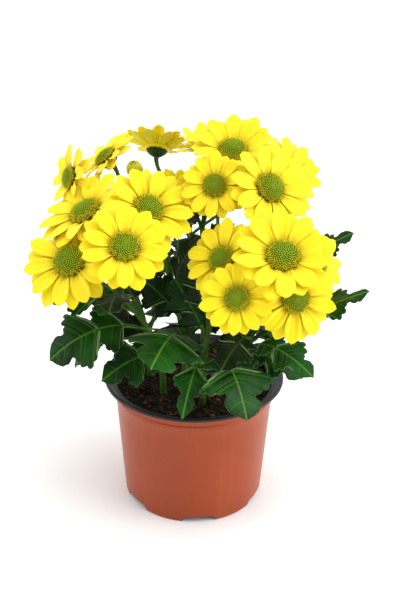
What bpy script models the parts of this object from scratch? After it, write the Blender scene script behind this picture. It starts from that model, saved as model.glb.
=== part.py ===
# A pot chrysanthemum: a thin plastic nursery pot of peat, eight leafy stems and their yellow daisy blooms.
# Metres, +Z up. The origin is the centre of the pot's base, and -Y is the front of the plant.
import math
import random

import bmesh
import bpy
from mathutils import Matrix, Vector
from mathutils.bvhtree import BVHTree

OBJECT_NAME = "pot_chrysanthemum"
GAP = 0.0003  # kept between pieces that touch
SEED = 12

# Pot
POT_HEIGHT = 0.0877
RIM_RADIUS = 0.060
BODY_TOP_RADIUS = 0.0535
BASE_RADIUS = 0.0476
WALL = 0.0014
LIP_DEPTH = 0.0023
LIP_FLAT = (0.0014, 0.0032)  # the lip's top, from the outside
LIP_UNDERCUT = 0.0012
EDGE_BEVEL = 0.0006
LIP_ROOT_HEIGHT = 0.0834
FLOOR_HEIGHT = 0.0056
FOOT_WIDTH = 0.0024
COLLAR_HEIGHT = 0.0775
COLLAR_DEPTH = 0.0018
COLLAR_PROUD = 0.0005
COLLAR_SLOPE = 0.0004
POT_STEPS = 32
NOTCH_COUNT = 6
NOTCH_FIRST_DEG = -84.0  # middle of the front notch, a little to the right of the front
NOTCH_TOP_WIDTH = 0.018
NOTCH_BOTTOM_WIDTH = 0.024
NOTCH_HEIGHT = 0.004
NOTCH_REACH = 0.012  # how far a notch cutter reaches through the skirt
DRAIN_RADIUS = 0.0035
DRAIN_CIRCLE = 0.036
DRAIN_SIDES = 8

# Peat
SOIL_EDGE_HEIGHT = 0.0805
SOIL_HEAP = 0.0022
SOIL_HEAP_DEG = 160  # the peat is heaped towards the left rim
SOIL_LUMPS = 0.35  # of the heap
SOIL_SIDES = 24
SOIL_RINGS = (0.84, 0.58, 0.28)
HOLE_FLOOR = 0.064
HOLE_RADIUS = 0.0029
HOLE_SIDES = 8

# Stems and leaves
STEM_RADIUS = 0.0021
STEM_STEPS = 5
STALK_RADIUS = 0.0012
STALK_STEPS = 4
STALK_START = 0.7  # share of the stem's last stretch where the bloom stalks leave it
STALK_PULL = 0.35  # share of a stalk's reach over which it keeps its first and its last direction
CALYX_HEIGHT = 0.0042
CALYX_SIDES = 8
CALYX_TOP = 0.8  # calyx top radius over disc radius
CALYX_FOOT = 1.5  # calyx foot radius over stalk radius
CALYX_SINK = 0.4  # share of the calyx height that the stalk enters
BUD_CALYX = 0.8  # the bud's calyx is made for a disc of this share of the bud's radius
LEAF_RIB_THICKNESS = 0.0013
LEAF_STALK_HALF_WIDTH = 0.0011
LEAF_CLEARANCE = 0.0004
LEAF_ROLLS = (0, 12, -12, 24, -24, 38, -38)  # tried one after the other, degrees
LEAF_ARCHES = (0.0, 0.005, -0.005, 0.010)

# Blooms
DISC_SHARE = 0.335  # disc radius over bloom radius
ROOT_SHARE = 1.03  # radius of the ring that carries the petals over disc radius
TIER = 0.0010
TIER_BAND = 0.0003
PETAL_THICKNESS = 0.0009
PETAL_CLEARANCE = 0.00035
PETAL_LENGTHS = (0.93, 1.05)  # least and most share of the length from ring to rim
PETAL_WIDTHS = (0.29, 0.335)  # least and most share of the bloom radius
PETAL_STEPS = ((0.38, 7, 0.43), (0.42, 0, 0.50), (0.20, -9, 0.25))  # share of length, arch, half width
LOWER_DROOP = 9.0  # the lower whorl cups this much less (degrees)
PITCH_SPREAD = 3.0
PITCH_LIMIT = 64.0
DISC_SIDES = 10
DISC_RINGS = (0.78, 0.42)
DISC_WALL = 0.0012
DISC_DOME = 0.42  # dome height over disc radius
FLORET_RELIEF = 0.0004
BUD_SIDES = 12
BUD_ROWS = 6
BUD_RIBS = 6
BUD_RIB_DEPTH = 0.09

# Each stem: where it stands in the peat (x, y), where it forks (x, y, z) and the blooms that it carries.
STEMS = {
    "stem_1": ((-0.020, -0.018), (-0.042, -0.034, 0.156), ("a", "b")),
    "stem_2": ((-0.030, 0.004), (-0.052, 0.008, 0.170), ("c", "e", "f")),
    "stem_3": ((-0.006, -0.008), (-0.020, -0.008, 0.176), ("d", "j", "bud")),
    "stem_4": ((0.006, -0.030), (0.010, -0.036, 0.146), ("k", "q", "r")),
    "stem_5": ((0.026, -0.020), (0.040, -0.034, 0.140), ("p", "s")),
    "stem_6": ((0.032, 0.006), (0.046, 0.004, 0.160), ("n", "o", "t", "w")),
    "stem_7": ((0.006, 0.014), (0.004, 0.022, 0.182), ("g", "l", "m")),
    "stem_8": ((-0.006, 0.036), (-0.012, 0.046, 0.150), ("x", "y", "z")),
}

# Each bloom: disc centre (x, y, z), the way it faces (degrees to the right of the front, degrees up),
# its radius, the petals in each of its two whorls and how far they cup forward (degrees).
BLOOMS = {
    "p": ((0.049, -0.062, 0.196), (4, 52), 0.0295, 10, 20),
    "a": ((-0.038, -0.065, 0.201), (8, 42), 0.0260, 10, 12),
    "r": ((0.024, -0.075, 0.176), (-8, 28), 0.0215, 10, 6),
    "k": ((0.011, -0.025, 0.225), (-8, 34), 0.0210, 10, 8),
    "n": ((0.043, -0.025, 0.224), (30, 38), 0.0275, 10, 14),
    "d": ((-0.027, -0.035, 0.213), (22, 46), 0.0275, 9, 16),
    "c": ((-0.066, -0.015, 0.204), (-50, 58), 0.0305, 10, 18),
    "b": ((-0.0725, -0.042, 0.183), (-18, 42), 0.0295, 10, 6),
    "s": ((0.058, -0.058, 0.169), (16, 18), 0.0262, 9, 4),
    "q": ((0.016, -0.050, 0.189), (-34, 34), 0.0240, 9, 8),
    "l": ((0.022, 0.010, 0.2365), (0, 58), 0.0275, 10, 24),
    "e": ((-0.058, 0.030, 0.226), (-72, 50), 0.0225, 9, 14),
    "f": ((-0.079, 0.015, 0.217), (-56, 20), 0.0210, 8, 10),
    "g": ((-0.027, 0.055, 0.227), (172, 54), 0.0235, 9, 30),
    "m": ((0.008, 0.043, 0.230), (-30, 82), 0.0250, 9, 40),
    "o": ((0.056, 0.018, 0.222), (46, 48), 0.0255, 9, 26),
    "t": ((0.074, -0.018, 0.175), (50, 34), 0.0225, 9, 10),
    "j": ((-0.014, 0.000, 0.214), (150, 20), 0.0160, 8, 26),
    "w": ((0.066, 0.045, 0.162), (116, 26), 0.0235, 8, 8),
    "x": ((-0.066, 0.054, 0.180), (-135, 30), 0.0235, 8, 8),
    "y": ((-0.018, 0.076, 0.186), (176, 26), 0.0240, 8, 8),
    "z": ((0.036, 0.064, 0.202), (150, 40), 0.0240, 8, 8),
}
BUD = ((-0.038, 0.005, 0.226), (-20, 70), 0.0048)

# Leaves seen from the front: stem, height where the leaf stalk starts, tip, arch above the straight line,
# blade width, roll about the midrib (degrees) and the share of the length that is stalk.
FRONT_LEAVES = (
    ("stem_1", 0.132, (-0.086, -0.054, 0.124), 0.014, 0.044, -22, 0.26),
    ("stem_1", 0.146, (-0.088, -0.036, 0.158), 0.006, 0.030, -24, 0.22),
    ("stem_2", 0.112, (-0.076, -0.026, 0.104), 0.010, 0.030, 30, 0.30),
    ("stem_3", 0.114, (-0.023, -0.086, 0.137), 0.012, 0.052, -8, 0.32),
    ("stem_1", 0.104, (-0.056, -0.050, 0.108), 0.016, 0.034, -30, 0.22),
    ("stem_4", 0.118, (-0.006, -0.074, 0.097), 0.018, 0.022, -10, 0.20),
    ("stem_4", 0.104, (0.032, -0.083, 0.102), 0.024, 0.052, 0, 0.42),
    ("stem_5", 0.108, (0.067, -0.048, 0.111), 0.014, 0.032, 24, 0.32),
    ("stem_6", 0.146, (0.099, 0.002, 0.188), 0.004, 0.022, 30, 0.42),
    ("stem_5", 0.126, (0.102, -0.048, 0.170), 0.002, 0.028, 22, 0.40),
    ("stem_5", 0.114, (0.071, -0.066, 0.122), 0.016, 0.030, 20, 0.38),
    ("stem_7", 0.168, (-0.018, 0.020, 0.222), -0.006, 0.018, 0, 0.40),
)

# Leaves in the dark of the plant, seen between the blooms: the same values.
INNER_LEAVES = (
    ("stem_3", 0.150, (0.004, -0.014, 0.190), 0.006, 0.032, 62, 0.26),
    ("stem_4", 0.130, (-0.012, -0.030, 0.168), 0.006, 0.034, -62, 0.26),
    ("stem_4", 0.142, (0.000, -0.020, 0.182), 0.004, 0.030, -62, 0.26),
    ("stem_7", 0.150, (0.024, 0.004, 0.192), 0.006, 0.034, 62, 0.26),
    ("stem_7", 0.166, (0.012, 0.008, 0.212), 0.004, 0.026, 50, 0.26),
    ("stem_7", 0.134, (-0.014, 0.004, 0.172), 0.006, 0.034, -62, 0.26),
    ("stem_6", 0.138, (0.028, -0.004, 0.182), 0.006, 0.032, -62, 0.26),
    ("stem_6", 0.126, (0.066, -0.004, 0.152), 0.006, 0.032, 50, 0.26),
    ("stem_5", 0.118, (0.020, -0.018, 0.146), 0.006, 0.030, -55, 0.26),
    ("stem_3", 0.132, (-0.034, -0.018, 0.164), 0.006, 0.032, -62, 0.26),
)

# Leaves that fill the rest of each stem, turned by the golden angle
FILLERS_PER_STEM = 5
FILLER_TRIES = 8
FILLER_LOWEST = 0.104
FILLER_STEP = 0.013
FILLER_FIRST_TURN = 2.1  # from one stem to the next
FILLER_LENGTHS = (0.036, 0.052)
FILLER_RISES = (-0.05, 0.45)
FILLER_ROLL = 12
FILLER_ARCH = 0.006
FILLER_WIDTH = 0.64  # of its length
FILLER_STALK = 0.24
GOLDEN_ANGLE = math.radians(137.5)

# One side of a lobed blade: share of the blade's length, share of its half width.
FRONT_LOBES = (
    ((0.05, 0.34), (0.20, 0.78), (0.31, 0.72), (0.37, 0.28)),
    ((0.46, 0.60), (0.60, 1.00), (0.70, 0.72), (0.73, 0.32)),
    ((0.85, 0.50), (0.94, 0.30)),
)
BACK_LOBES = (
    ((0.05, 0.36), (0.22, 0.84), (0.37, 0.32)),
    ((0.58, 1.00), (0.73, 0.40)),
    ((0.88, 0.50),),
)
LOBE_WAVE = 0.05  # lobe tips rise and fall by this share of the blade's width


def clear_scene():
    for item in list(bpy.data.objects):
        bpy.data.objects.remove(item)


def make_collection(name):
    collection = bpy.data.collections.new(name)
    bpy.context.scene.collection.children.link(collection)
    return collection


def make_material(name, colour, roughness):
    material = bpy.data.materials.new(name)
    material.use_nodes = True
    shader = material.node_tree.nodes["Principled BSDF"]
    shader.inputs["Base Color"].default_value = (*colour, 1.0)
    shader.inputs["Roughness"].default_value = roughness
    shader.inputs["Metallic"].default_value = 0.0
    return material


def add_object(name, mesh, collection, material=None):
    item = bpy.data.objects.new(name, mesh)
    if material is not None:
        mesh.materials.clear()
        mesh.materials.append(material)
    collection.objects.link(item)
    return item


def mesh_from(bm, name):
    bmesh.ops.recalc_face_normals(bm, faces=bm.faces)
    mesh = bpy.data.meshes.new(name)
    bm.to_mesh(mesh)
    bm.free()
    return mesh


def hide_cutter(item):
    item.hide_render = True
    item.display_type = "WIRE"


def shade_round(mesh, sharp_deg):
    mesh.shade_smooth()
    mesh.set_sharp_from_angle(angle=math.radians(sharp_deg))


# Curves and directions


def facing(yaw_deg, up_deg):
    yaw = math.radians(yaw_deg)
    up = math.radians(up_deg)
    return Vector((math.sin(yaw) * math.cos(up), -math.cos(yaw) * math.cos(up), math.sin(up)))


def bezier(points, share):
    row = [Vector(point) for point in points]
    while len(row) > 1:
        row = [one.lerp(two, share) for one, two in zip(row, row[1:])]
    return row[0]


def along(points, steps):
    return [bezier(points, step / steps) for step in range(steps + 1)]


def turn_to(axis, spot):
    return Matrix.Translation(spot) @ axis.to_track_quat("Z", "Y").to_matrix().to_4x4()


def bloom_frame(axis):
    side = Vector((0, 0, 1)).cross(axis).normalized()
    return side, axis.cross(side)


# Room between pieces


class Room:
    """Remembers the surfaces that stand already, so that later ones are bent clear of them."""

    def __init__(self):
        self.taken = []

    def add(self, owner, points, faces):
        tree = BVHTree.FromPolygons(points, faces)
        self.taken.append((owner, *box_of(points), tree))

    def add_mesh(self, owner, mesh, matrix=None):
        matrix = matrix or Matrix.Identity(4)
        points = [matrix @ vertex.co for vertex in mesh.vertices]
        self.add(owner, points, [tuple(face.vertices) for face in mesh.polygons])

    def is_clear(self, points, faces, ignore):
        low, high = box_of(points)
        tree = None
        for owner, other_low, other_high, other in self.taken:
            if owner in ignore:
                continue
            if any(low[i] > other_high[i] or high[i] < other_low[i] for i in range(3)):
                continue
            tree = tree or BVHTree.FromPolygons(points, faces)
            if tree.overlap(other):
                return False
        return True


def box_of(points):
    low = [min(point[i] for point in points) for i in range(3)]
    high = [max(point[i] for point in points) for i in range(3)]
    return low, high


# Pot


def pot_radius(height):
    return BASE_RADIUS + (BODY_TOP_RADIUS - BASE_RADIUS) * height / LIP_ROOT_HEIGHT


def pot_profile():
    lip_bottom = POT_HEIGHT - LIP_DEPTH
    collar_low = COLLAR_HEIGHT - COLLAR_DEPTH
    inner_floor = FLOOR_HEIGHT + WALL
    return (
        (0.0, inner_floor),
        (pot_radius(inner_floor) - WALL, inner_floor),
        (pot_radius(LIP_ROOT_HEIGHT) - WALL, LIP_ROOT_HEIGHT),
        (RIM_RADIUS - LIP_FLAT[1], POT_HEIGHT - EDGE_BEVEL),
        (RIM_RADIUS - LIP_FLAT[0], POT_HEIGHT),
        (RIM_RADIUS, POT_HEIGHT - EDGE_BEVEL),
        (RIM_RADIUS, lip_bottom),
        (RIM_RADIUS - LIP_UNDERCUT, lip_bottom - 0.0002),
        (pot_radius(LIP_ROOT_HEIGHT) + COLLAR_SLOPE, LIP_ROOT_HEIGHT - WALL),
        (pot_radius(COLLAR_HEIGHT), COLLAR_HEIGHT + COLLAR_SLOPE),
        (pot_radius(COLLAR_HEIGHT) + COLLAR_PROUD, COLLAR_HEIGHT),
        (pot_radius(collar_low) + COLLAR_PROUD, collar_low),
        (pot_radius(collar_low), collar_low - COLLAR_SLOPE),
        (BASE_RADIUS, EDGE_BEVEL),
        (BASE_RADIUS - EDGE_BEVEL, 0.0),
        (BASE_RADIUS - FOOT_WIDTH, 0.0),
        (BASE_RADIUS - FOOT_WIDTH, FLOOR_HEIGHT),
        (0.0, FLOOR_HEIGHT),
    )


def make_notch_cutter(index, collection):
    bm = bmesh.new()
    bmesh.ops.create_cube(bm, size=1.0)
    lowest_width = 2 * NOTCH_BOTTOM_WIDTH - NOTCH_TOP_WIDTH  # the cutter goes as far below the base
    for vertex in bm.verts:
        low = vertex.co.z < 0
        vertex.co.x = BASE_RADIUS + NOTCH_REACH * vertex.co.x
        vertex.co.y *= lowest_width if low else NOTCH_TOP_WIDTH
        vertex.co.z = -NOTCH_HEIGHT if low else NOTCH_HEIGHT
    turn = math.radians(NOTCH_FIRST_DEG + index * 360 / NOTCH_COUNT)
    bmesh.ops.rotate(bm, verts=bm.verts, cent=(0, 0, 0), matrix=Matrix.Rotation(turn, 3, "Z"))
    hide_cutter(add_object(f"notch_{index}", mesh_from(bm, f"notch_{index}"), collection))


def make_drain_cutter(index, collection):
    turn = math.radians(NOTCH_FIRST_DEG + (index + 0.5) * 360 / NOTCH_COUNT)
    spot = (DRAIN_CIRCLE * math.cos(turn), DRAIN_CIRCLE * math.sin(turn), FLOOR_HEIGHT)
    bm = bmesh.new()
    bmesh.ops.create_cone(
        bm, cap_ends=True, segments=DRAIN_SIDES, radius1=DRAIN_RADIUS, radius2=DRAIN_RADIUS,
        depth=6 * WALL, matrix=Matrix.Translation(spot),
    )
    hide_cutter(add_object(f"drain_{index}", mesh_from(bm, f"drain_{index}"), collection))


def make_pot(collection, cutters, material):
    mesh = bpy.data.meshes.new("pot")
    points = [(radius, 0.0, height) for radius, height in pot_profile()]
    mesh.from_pydata(points, [(i, i + 1) for i in range(len(points) - 1)], [])
    pot = add_object("pot", mesh, collection, material)
    screw = pot.modifiers.new("turn", "SCREW")
    screw.steps = POT_STEPS
    screw.render_steps = POT_STEPS
    screw.use_merge_vertices = True
    screw.merge_threshold = 0.00005
    screw.use_smooth_shade = True
    for index in range(NOTCH_COUNT):
        make_notch_cutter(index, cutters)
        make_drain_cutter(index, cutters)
    cut = pot.modifiers.new("notches_and_drains", "BOOLEAN")
    cut.operation = "DIFFERENCE"
    cut.operand_type = "COLLECTION"
    cut.collection = cutters
    return pot


# Peat and discs share one way of building: a capped drum whose top face is inset into rings and raised.


def make_mound(sides, bottom_radius, top_radius, depth, rings, raise_point):
    bm = bmesh.new()
    bmesh.ops.create_cone(
        bm, cap_ends=True, segments=sides, radius1=bottom_radius, radius2=top_radius, depth=depth,
    )
    top = max(bm.faces, key=lambda face: face.calc_center_median().z)
    level = depth / 2
    for ring in rings:
        bmesh.ops.inset_region(bm, faces=[top], thickness=0.0001, use_even_offset=False)
        for vertex in top.verts:
            flat = Vector((vertex.co.x, vertex.co.y)).normalized() * ring * top_radius
            vertex.co = (flat.x, flat.y, level)
    bmesh.ops.poke(bm, faces=[top])
    for vertex in bm.verts:
        if vertex.co.z > 0:
            radius = math.hypot(vertex.co.x, vertex.co.y)
            angle = math.atan2(vertex.co.y, vertex.co.x)
            vertex.co.z += raise_point(radius / top_radius, angle)
    return bm


def soil_height(share, angle):
    heap = 0.55 + 0.45 * math.cos(angle - math.radians(SOIL_HEAP_DEG))
    lumps = 0.5 * math.sin(3 * angle + 9 * share) + 0.5 * math.sin(7 * angle - 5 * share)
    return SOIL_HEAP * (heap * (1 - 0.6 * share * share) + SOIL_LUMPS * lumps * share)


def make_soil(collection, cutters, material):
    bottom = FLOOR_HEIGHT + WALL + GAP
    depth = SOIL_EDGE_HEIGHT - bottom
    fit = math.cos(math.pi / POT_STEPS)  # the pot's inside is a polygon
    low_radius = (pot_radius(bottom) - WALL) * fit - 2 * GAP
    high_radius = (pot_radius(SOIL_EDGE_HEIGHT) - WALL) * fit - 2 * GAP
    bm = make_mound(SOIL_SIDES, low_radius, high_radius, depth, SOIL_RINGS, soil_height)
    bmesh.ops.translate(bm, verts=bm.verts, vec=(0, 0, bottom + depth / 2))
    soil = add_object("soil", mesh_from(bm, "soil"), collection, material)
    for name, (foot, _, _) in STEMS.items():
        hole = bmesh.new()
        top = POT_HEIGHT + 0.01
        bmesh.ops.create_cone(
            hole, cap_ends=True, segments=HOLE_SIDES, radius1=HOLE_RADIUS, radius2=HOLE_RADIUS,
            depth=top - HOLE_FLOOR, matrix=Matrix.Translation((*foot, (top + HOLE_FLOOR) / 2)),
        )
        hide_cutter(add_object(f"hole_{name}", mesh_from(hole, f"hole_{name}"), cutters))
    cut = soil.modifiers.new("stem_holes", "BOOLEAN")
    cut.operation = "DIFFERENCE"
    cut.operand_type = "COLLECTION"
    cut.collection = cutters
    return soil


# Stems


def make_tube(name, points, radius, roundness, collection):
    curve = bpy.data.curves.new(name, "CURVE")
    curve.dimensions = "3D"
    curve.bevel_depth = radius
    curve.bevel_resolution = roundness
    curve.use_fill_caps = True
    spline = curve.splines.new("POLY")
    spline.points.add(len(points) - 1)
    for spot, point in zip(spline.points, points):
        spot.co = (*point, 1.0)
    source = add_object(name + "_curve", curve, collection)
    bpy.context.view_layer.update()
    mesh = bpy.data.meshes.new_from_object(source.evaluated_get(bpy.context.evaluated_depsgraph_get()))
    bpy.data.objects.remove(source)
    bm = bmesh.new()
    bm.from_mesh(mesh)
    bmesh.ops.remove_doubles(bm, verts=bm.verts, dist=0.00002)
    return add_object(name, mesh_from(bm, name), collection)


def stem_route(name):
    foot, fork, _ = STEMS[name]
    low = Vector((*foot, HOLE_FLOOR + GAP))
    soil_top = Vector((*foot, POT_HEIGHT))
    pull = Vector((*foot, POT_HEIGHT + 0.5 * (fork[2] - POT_HEIGHT)))
    return [low] + along([soil_top, pull, Vector(fork)], STEM_STEPS)


def calyx_places(name):
    """The way each calyx of a stem faces, its disc radius, its top and its foot."""
    places = []
    for bloom in STEMS[name][2]:
        spot, (yaw, up), size = BUD if bloom == "bud" else BLOOMS[bloom][:3]
        axis = facing(yaw, up)
        depth = size if bloom == "bud" else 2 * TIER + TIER_BAND
        disc_radius = size * (BUD_CALYX if bloom == "bud" else DISC_SHARE)
        top = Vector(spot) - axis * (depth + GAP)
        places.append((bloom, axis, disc_radius, top, top - axis * CALYX_HEIGHT))
    return places


def make_calyx(name, top, axis, radius, collection):
    bm = bmesh.new()
    middle = top - axis * (CALYX_HEIGHT / 2)
    bmesh.ops.create_cone(
        bm, cap_ends=True, segments=CALYX_SIDES, radius1=CALYX_FOOT * STALK_RADIUS, radius2=radius,
        depth=CALYX_HEIGHT, matrix=turn_to(axis, middle),
    )
    return add_object(name, mesh_from(bm, name), collection)


def make_stem_pieces(name, route, collection, room):
    pieces = [make_tube(name + "_main", route, STEM_RADIUS, 1, collection)]
    fork = route[-1]
    below = route[-2]
    rise = (fork - below).normalized()
    for bloom, axis, disc_radius, top, low in calyx_places(name):
        reach = (low - fork).length * STALK_PULL
        end = low + axis * CALYX_SINK * CALYX_HEIGHT
        bends = [below.lerp(fork, STALK_START), fork + rise * reach, low - axis * reach, end]
        stalk = along(bends, STALK_STEPS)
        pieces.append(make_tube(f"{name}_{bloom}_stalk", stalk, STALK_RADIUS, 0, collection))
        pieces.append(make_calyx(f"{name}_{bloom}_calyx", top, axis, CALYX_TOP * disc_radius, collection))
    for piece in pieces:
        room.add_mesh(name + "_wood", piece.data)
    return pieces


# Leaves


def leaf_surface(lobes, start, tip, arch, width, roll_deg, stalk_share, extra):
    """Points and triangles of one lobed blade with its stalk. extra thickens it for the clearance test."""
    start = Vector(start)
    tip = Vector(tip)
    chord = (tip - start).normalized()
    rolled = Matrix.Rotation(math.radians(roll_deg), 3, chord) @ Vector((0, 0, 1))
    side = chord.cross(rolled).normalized()
    normal = side.cross(chord)
    middle = start.lerp(tip, 0.5) + normal * 2 * arch

    def blade_share(share):
        return stalk_share + share * (1 - stalk_share)

    stalk_half = LEAF_STALK_HALF_WIDTH + extra
    edge = [[(0.0, stalk_half, 0.0), (stalk_share, stalk_half, 0.0)]]
    for lobe in lobes:
        widest = max(half for _, half in lobe)
        edge.append([
            (blade_share(share), half * width / 2 + extra, LOBE_WAVE * width * (half == widest))
            for share, half in lobe
        ])

    points = []
    for share in [0.0] + [row[-1][0] for row in edge[:-1]]:
        spot = bezier([start, middle, tip], share)
        half = (LEAF_RIB_THICKNESS / 2 + extra) * (1.15 - 0.35 * share)
        points += [spot + normal * half, spot - normal * half]
    tops = list(range(0, len(points), 2))
    lows = list(range(1, len(points), 2))
    tip_index = len(points)
    points.append(tip + chord * extra)
    faces = []
    ends = []
    for sign in (-1, 1):
        rows = []
        for row in edge:
            rows.append([])
            for share, half, wave in row:
                rows[-1].append(len(points))
                spot = bezier([start, middle, tip], share)
                points.append(spot + side * half * sign + normal * wave * sign)
        ends.append(rows[0][0])
        for spine, flip in ((tops, sign > 0), (lows, sign < 0)):
            made = [(spine[0], rows[0][0], rows[0][1]), (spine[0], rows[0][1], spine[1])]
            previous = rows[0][1]
            for index, row in enumerate(rows[1:], start=1):
                chain = [previous, *row]
                turn = len(chain) // 2
                if index == len(rows) - 1:
                    chain.append(tip_index)
                    turn = len(chain) - 1
                made += [(spine[index], one, two) for one, two in zip(chain[:turn], chain[1:turn + 1])]
                if index < len(rows) - 1:
                    made.append((spine[index], chain[turn], spine[index + 1]))
                    rest = zip(chain[turn:], chain[turn + 1:])
                    made += [(spine[index + 1], one, two) for one, two in rest]
                previous = row[-1]
            faces += [(one, three, two) if flip else (one, two, three) for one, two, three in made]
    faces.append((tops[0], ends[1], lows[0], ends[0]))
    return points, faces


def place_leaf(name, stem, lobes, leaf, collection, room, bends):
    start, tip, arch, width, roll, stalk = leaf
    ignore = (stem + "_wood",)
    for roll_change, arch_change in bends:
        shape = (lobes, start, tip, arch + arch_change, width, roll + roll_change, stalk)
        if room.is_clear(*leaf_surface(*shape, LEAF_CLEARANCE), ignore):
            points, faces = leaf_surface(*shape, 0.0)
            mesh = bpy.data.meshes.new(name)
            mesh.from_pydata(points, [], faces)
            room.add(stem, points, faces)
            bm = bmesh.new()
            bm.from_mesh(mesh)
            return add_object(name, mesh_from(bm, name), collection)
    return None


def point_at_height(route, height):
    for low, high in zip(route, route[1:]):
        if low.z <= height <= high.z:
            return low.lerp(high, (height - low.z) / (high.z - low.z))
    return route[-1]


LEAF_BENDS = [(roll, arch) for arch in LEAF_ARCHES for roll in LEAF_ROLLS]


def make_listed_leaves(kind, leaves, lobes, routes, collections, room, pieces):
    for index, (stem, height, tip, arch, width, roll, stalk) in enumerate(leaves):
        start = point_at_height(routes[stem], height)
        leaf = (start, tip, arch, width, roll, stalk)
        name = f"{stem}_{kind}_leaf_{index}"
        made = place_leaf(name, stem, lobes, leaf, collections[stem], room, LEAF_BENDS)
        if made is None:
            print(f"no room for {kind} leaf", index, stem)
        else:
            pieces[stem].append(made)


def make_filler_leaves(routes, collections, room, pieces, chance):
    for order, (stem, route) in enumerate(routes.items()):
        turn = FILLER_FIRST_TURN * order
        for index in range(FILLERS_PER_STEM):
            height = FILLER_LOWEST + FILLER_STEP * index
            start = point_at_height(route, height)
            for _ in range(FILLER_TRIES):
                turn += GOLDEN_ANGLE
                length = chance.uniform(*FILLER_LENGTHS)
                ahead = Vector((math.cos(turn), math.sin(turn), chance.uniform(*FILLER_RISES)))
                tip = start + ahead.normalized() * length
                roll = chance.uniform(-FILLER_ROLL, FILLER_ROLL)
                leaf = (start, tip, FILLER_ARCH, length * FILLER_WIDTH, roll, FILLER_STALK)
                name = f"{stem}_filler_{index}"
                made = place_leaf(name, stem, BACK_LOBES, leaf, collections[stem], room, LEAF_BENDS[:5])
                if made is not None:
                    pieces[stem].append(made)
                    break


def fuse(name, pieces, collection, scrap, material):
    body = pieces[0]
    for piece in pieces[1:]:
        for home in list(piece.users_collection):
            home.objects.unlink(piece)
        scrap.objects.link(piece)
    join = body.modifiers.new("join", "BOOLEAN")
    join.operation = "UNION"
    join.operand_type = "COLLECTION"
    join.collection = scrap
    join.solver = "EXACT"
    bpy.context.view_layer.update()
    mesh = bpy.data.meshes.new_from_object(body.evaluated_get(bpy.context.evaluated_depsgraph_get()))
    for piece in list(scrap.objects) + [body]:
        bpy.data.objects.remove(piece)
    bm = bmesh.new()
    bm.from_mesh(mesh)
    bmesh.ops.remove_doubles(bm, verts=bm.verts, dist=0.000005)
    bmesh.ops.triangulate(bm, faces=bm.faces)
    mesh = mesh_from(bm, name)
    shade_round(mesh, 40)
    return add_object(name, mesh, collection, material)


# Petals


class Petal:
    def __init__(self, spot, axis, out, side, length, width):
        self.spot = spot
        self.axis = axis
        self.out = out
        self.side = side
        self.length = length
        self.width = width

    def stations(self, pitch_deg, length_share, extra):
        """Left, ridge and right points of two cross sections, and the two points of the blunt tip."""
        spot = self.spot.copy()
        length = self.length * length_share + extra
        rows = []
        for share, arch, half in PETAL_STEPS:
            angle = math.radians(pitch_deg + arch)
            ahead = self.out * math.cos(angle) + self.axis * math.sin(angle)
            normal = self.axis * math.cos(angle) - self.out * math.sin(angle)
            spot = spot + ahead * share * length
            reach = self.side * (half * self.width + extra)
            base = spot - normal * extra
            rows.append([base - reach, base + normal * (PETAL_THICKNESS + 2 * extra), base + reach])
        rows[-1] = [rows[-1][0], rows[-1][2]]
        return rows


PETAL_FACES = (
    (0, 4, 5), (0, 5, 1), (1, 5, 6), (2, 6, 4), (2, 3, 6), (0, 2, 4), (1, 6, 3),
    (4, 7, 8), (4, 8, 5), (5, 8, 9), (5, 9, 6), (4, 6, 9), (4, 9, 7),
    (7, 10, 8), (10, 11, 8), (11, 9, 8), (7, 9, 11), (7, 11, 10),
)  # root 0-3 (top left, top right, low left, low right), sections 4-6 and 7-9, tip 10-11
PITCH_BENDS = (0, -5, 5, -10, 10, -16, 16, -23, 23, -31, 31, -40, 40, 50)
LENGTH_SHARES = (1.0, 0.86, 0.7, 0.52)


def petal_points(root, rows):
    return [*root, *rows[0], *rows[1], *rows[2]]


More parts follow.
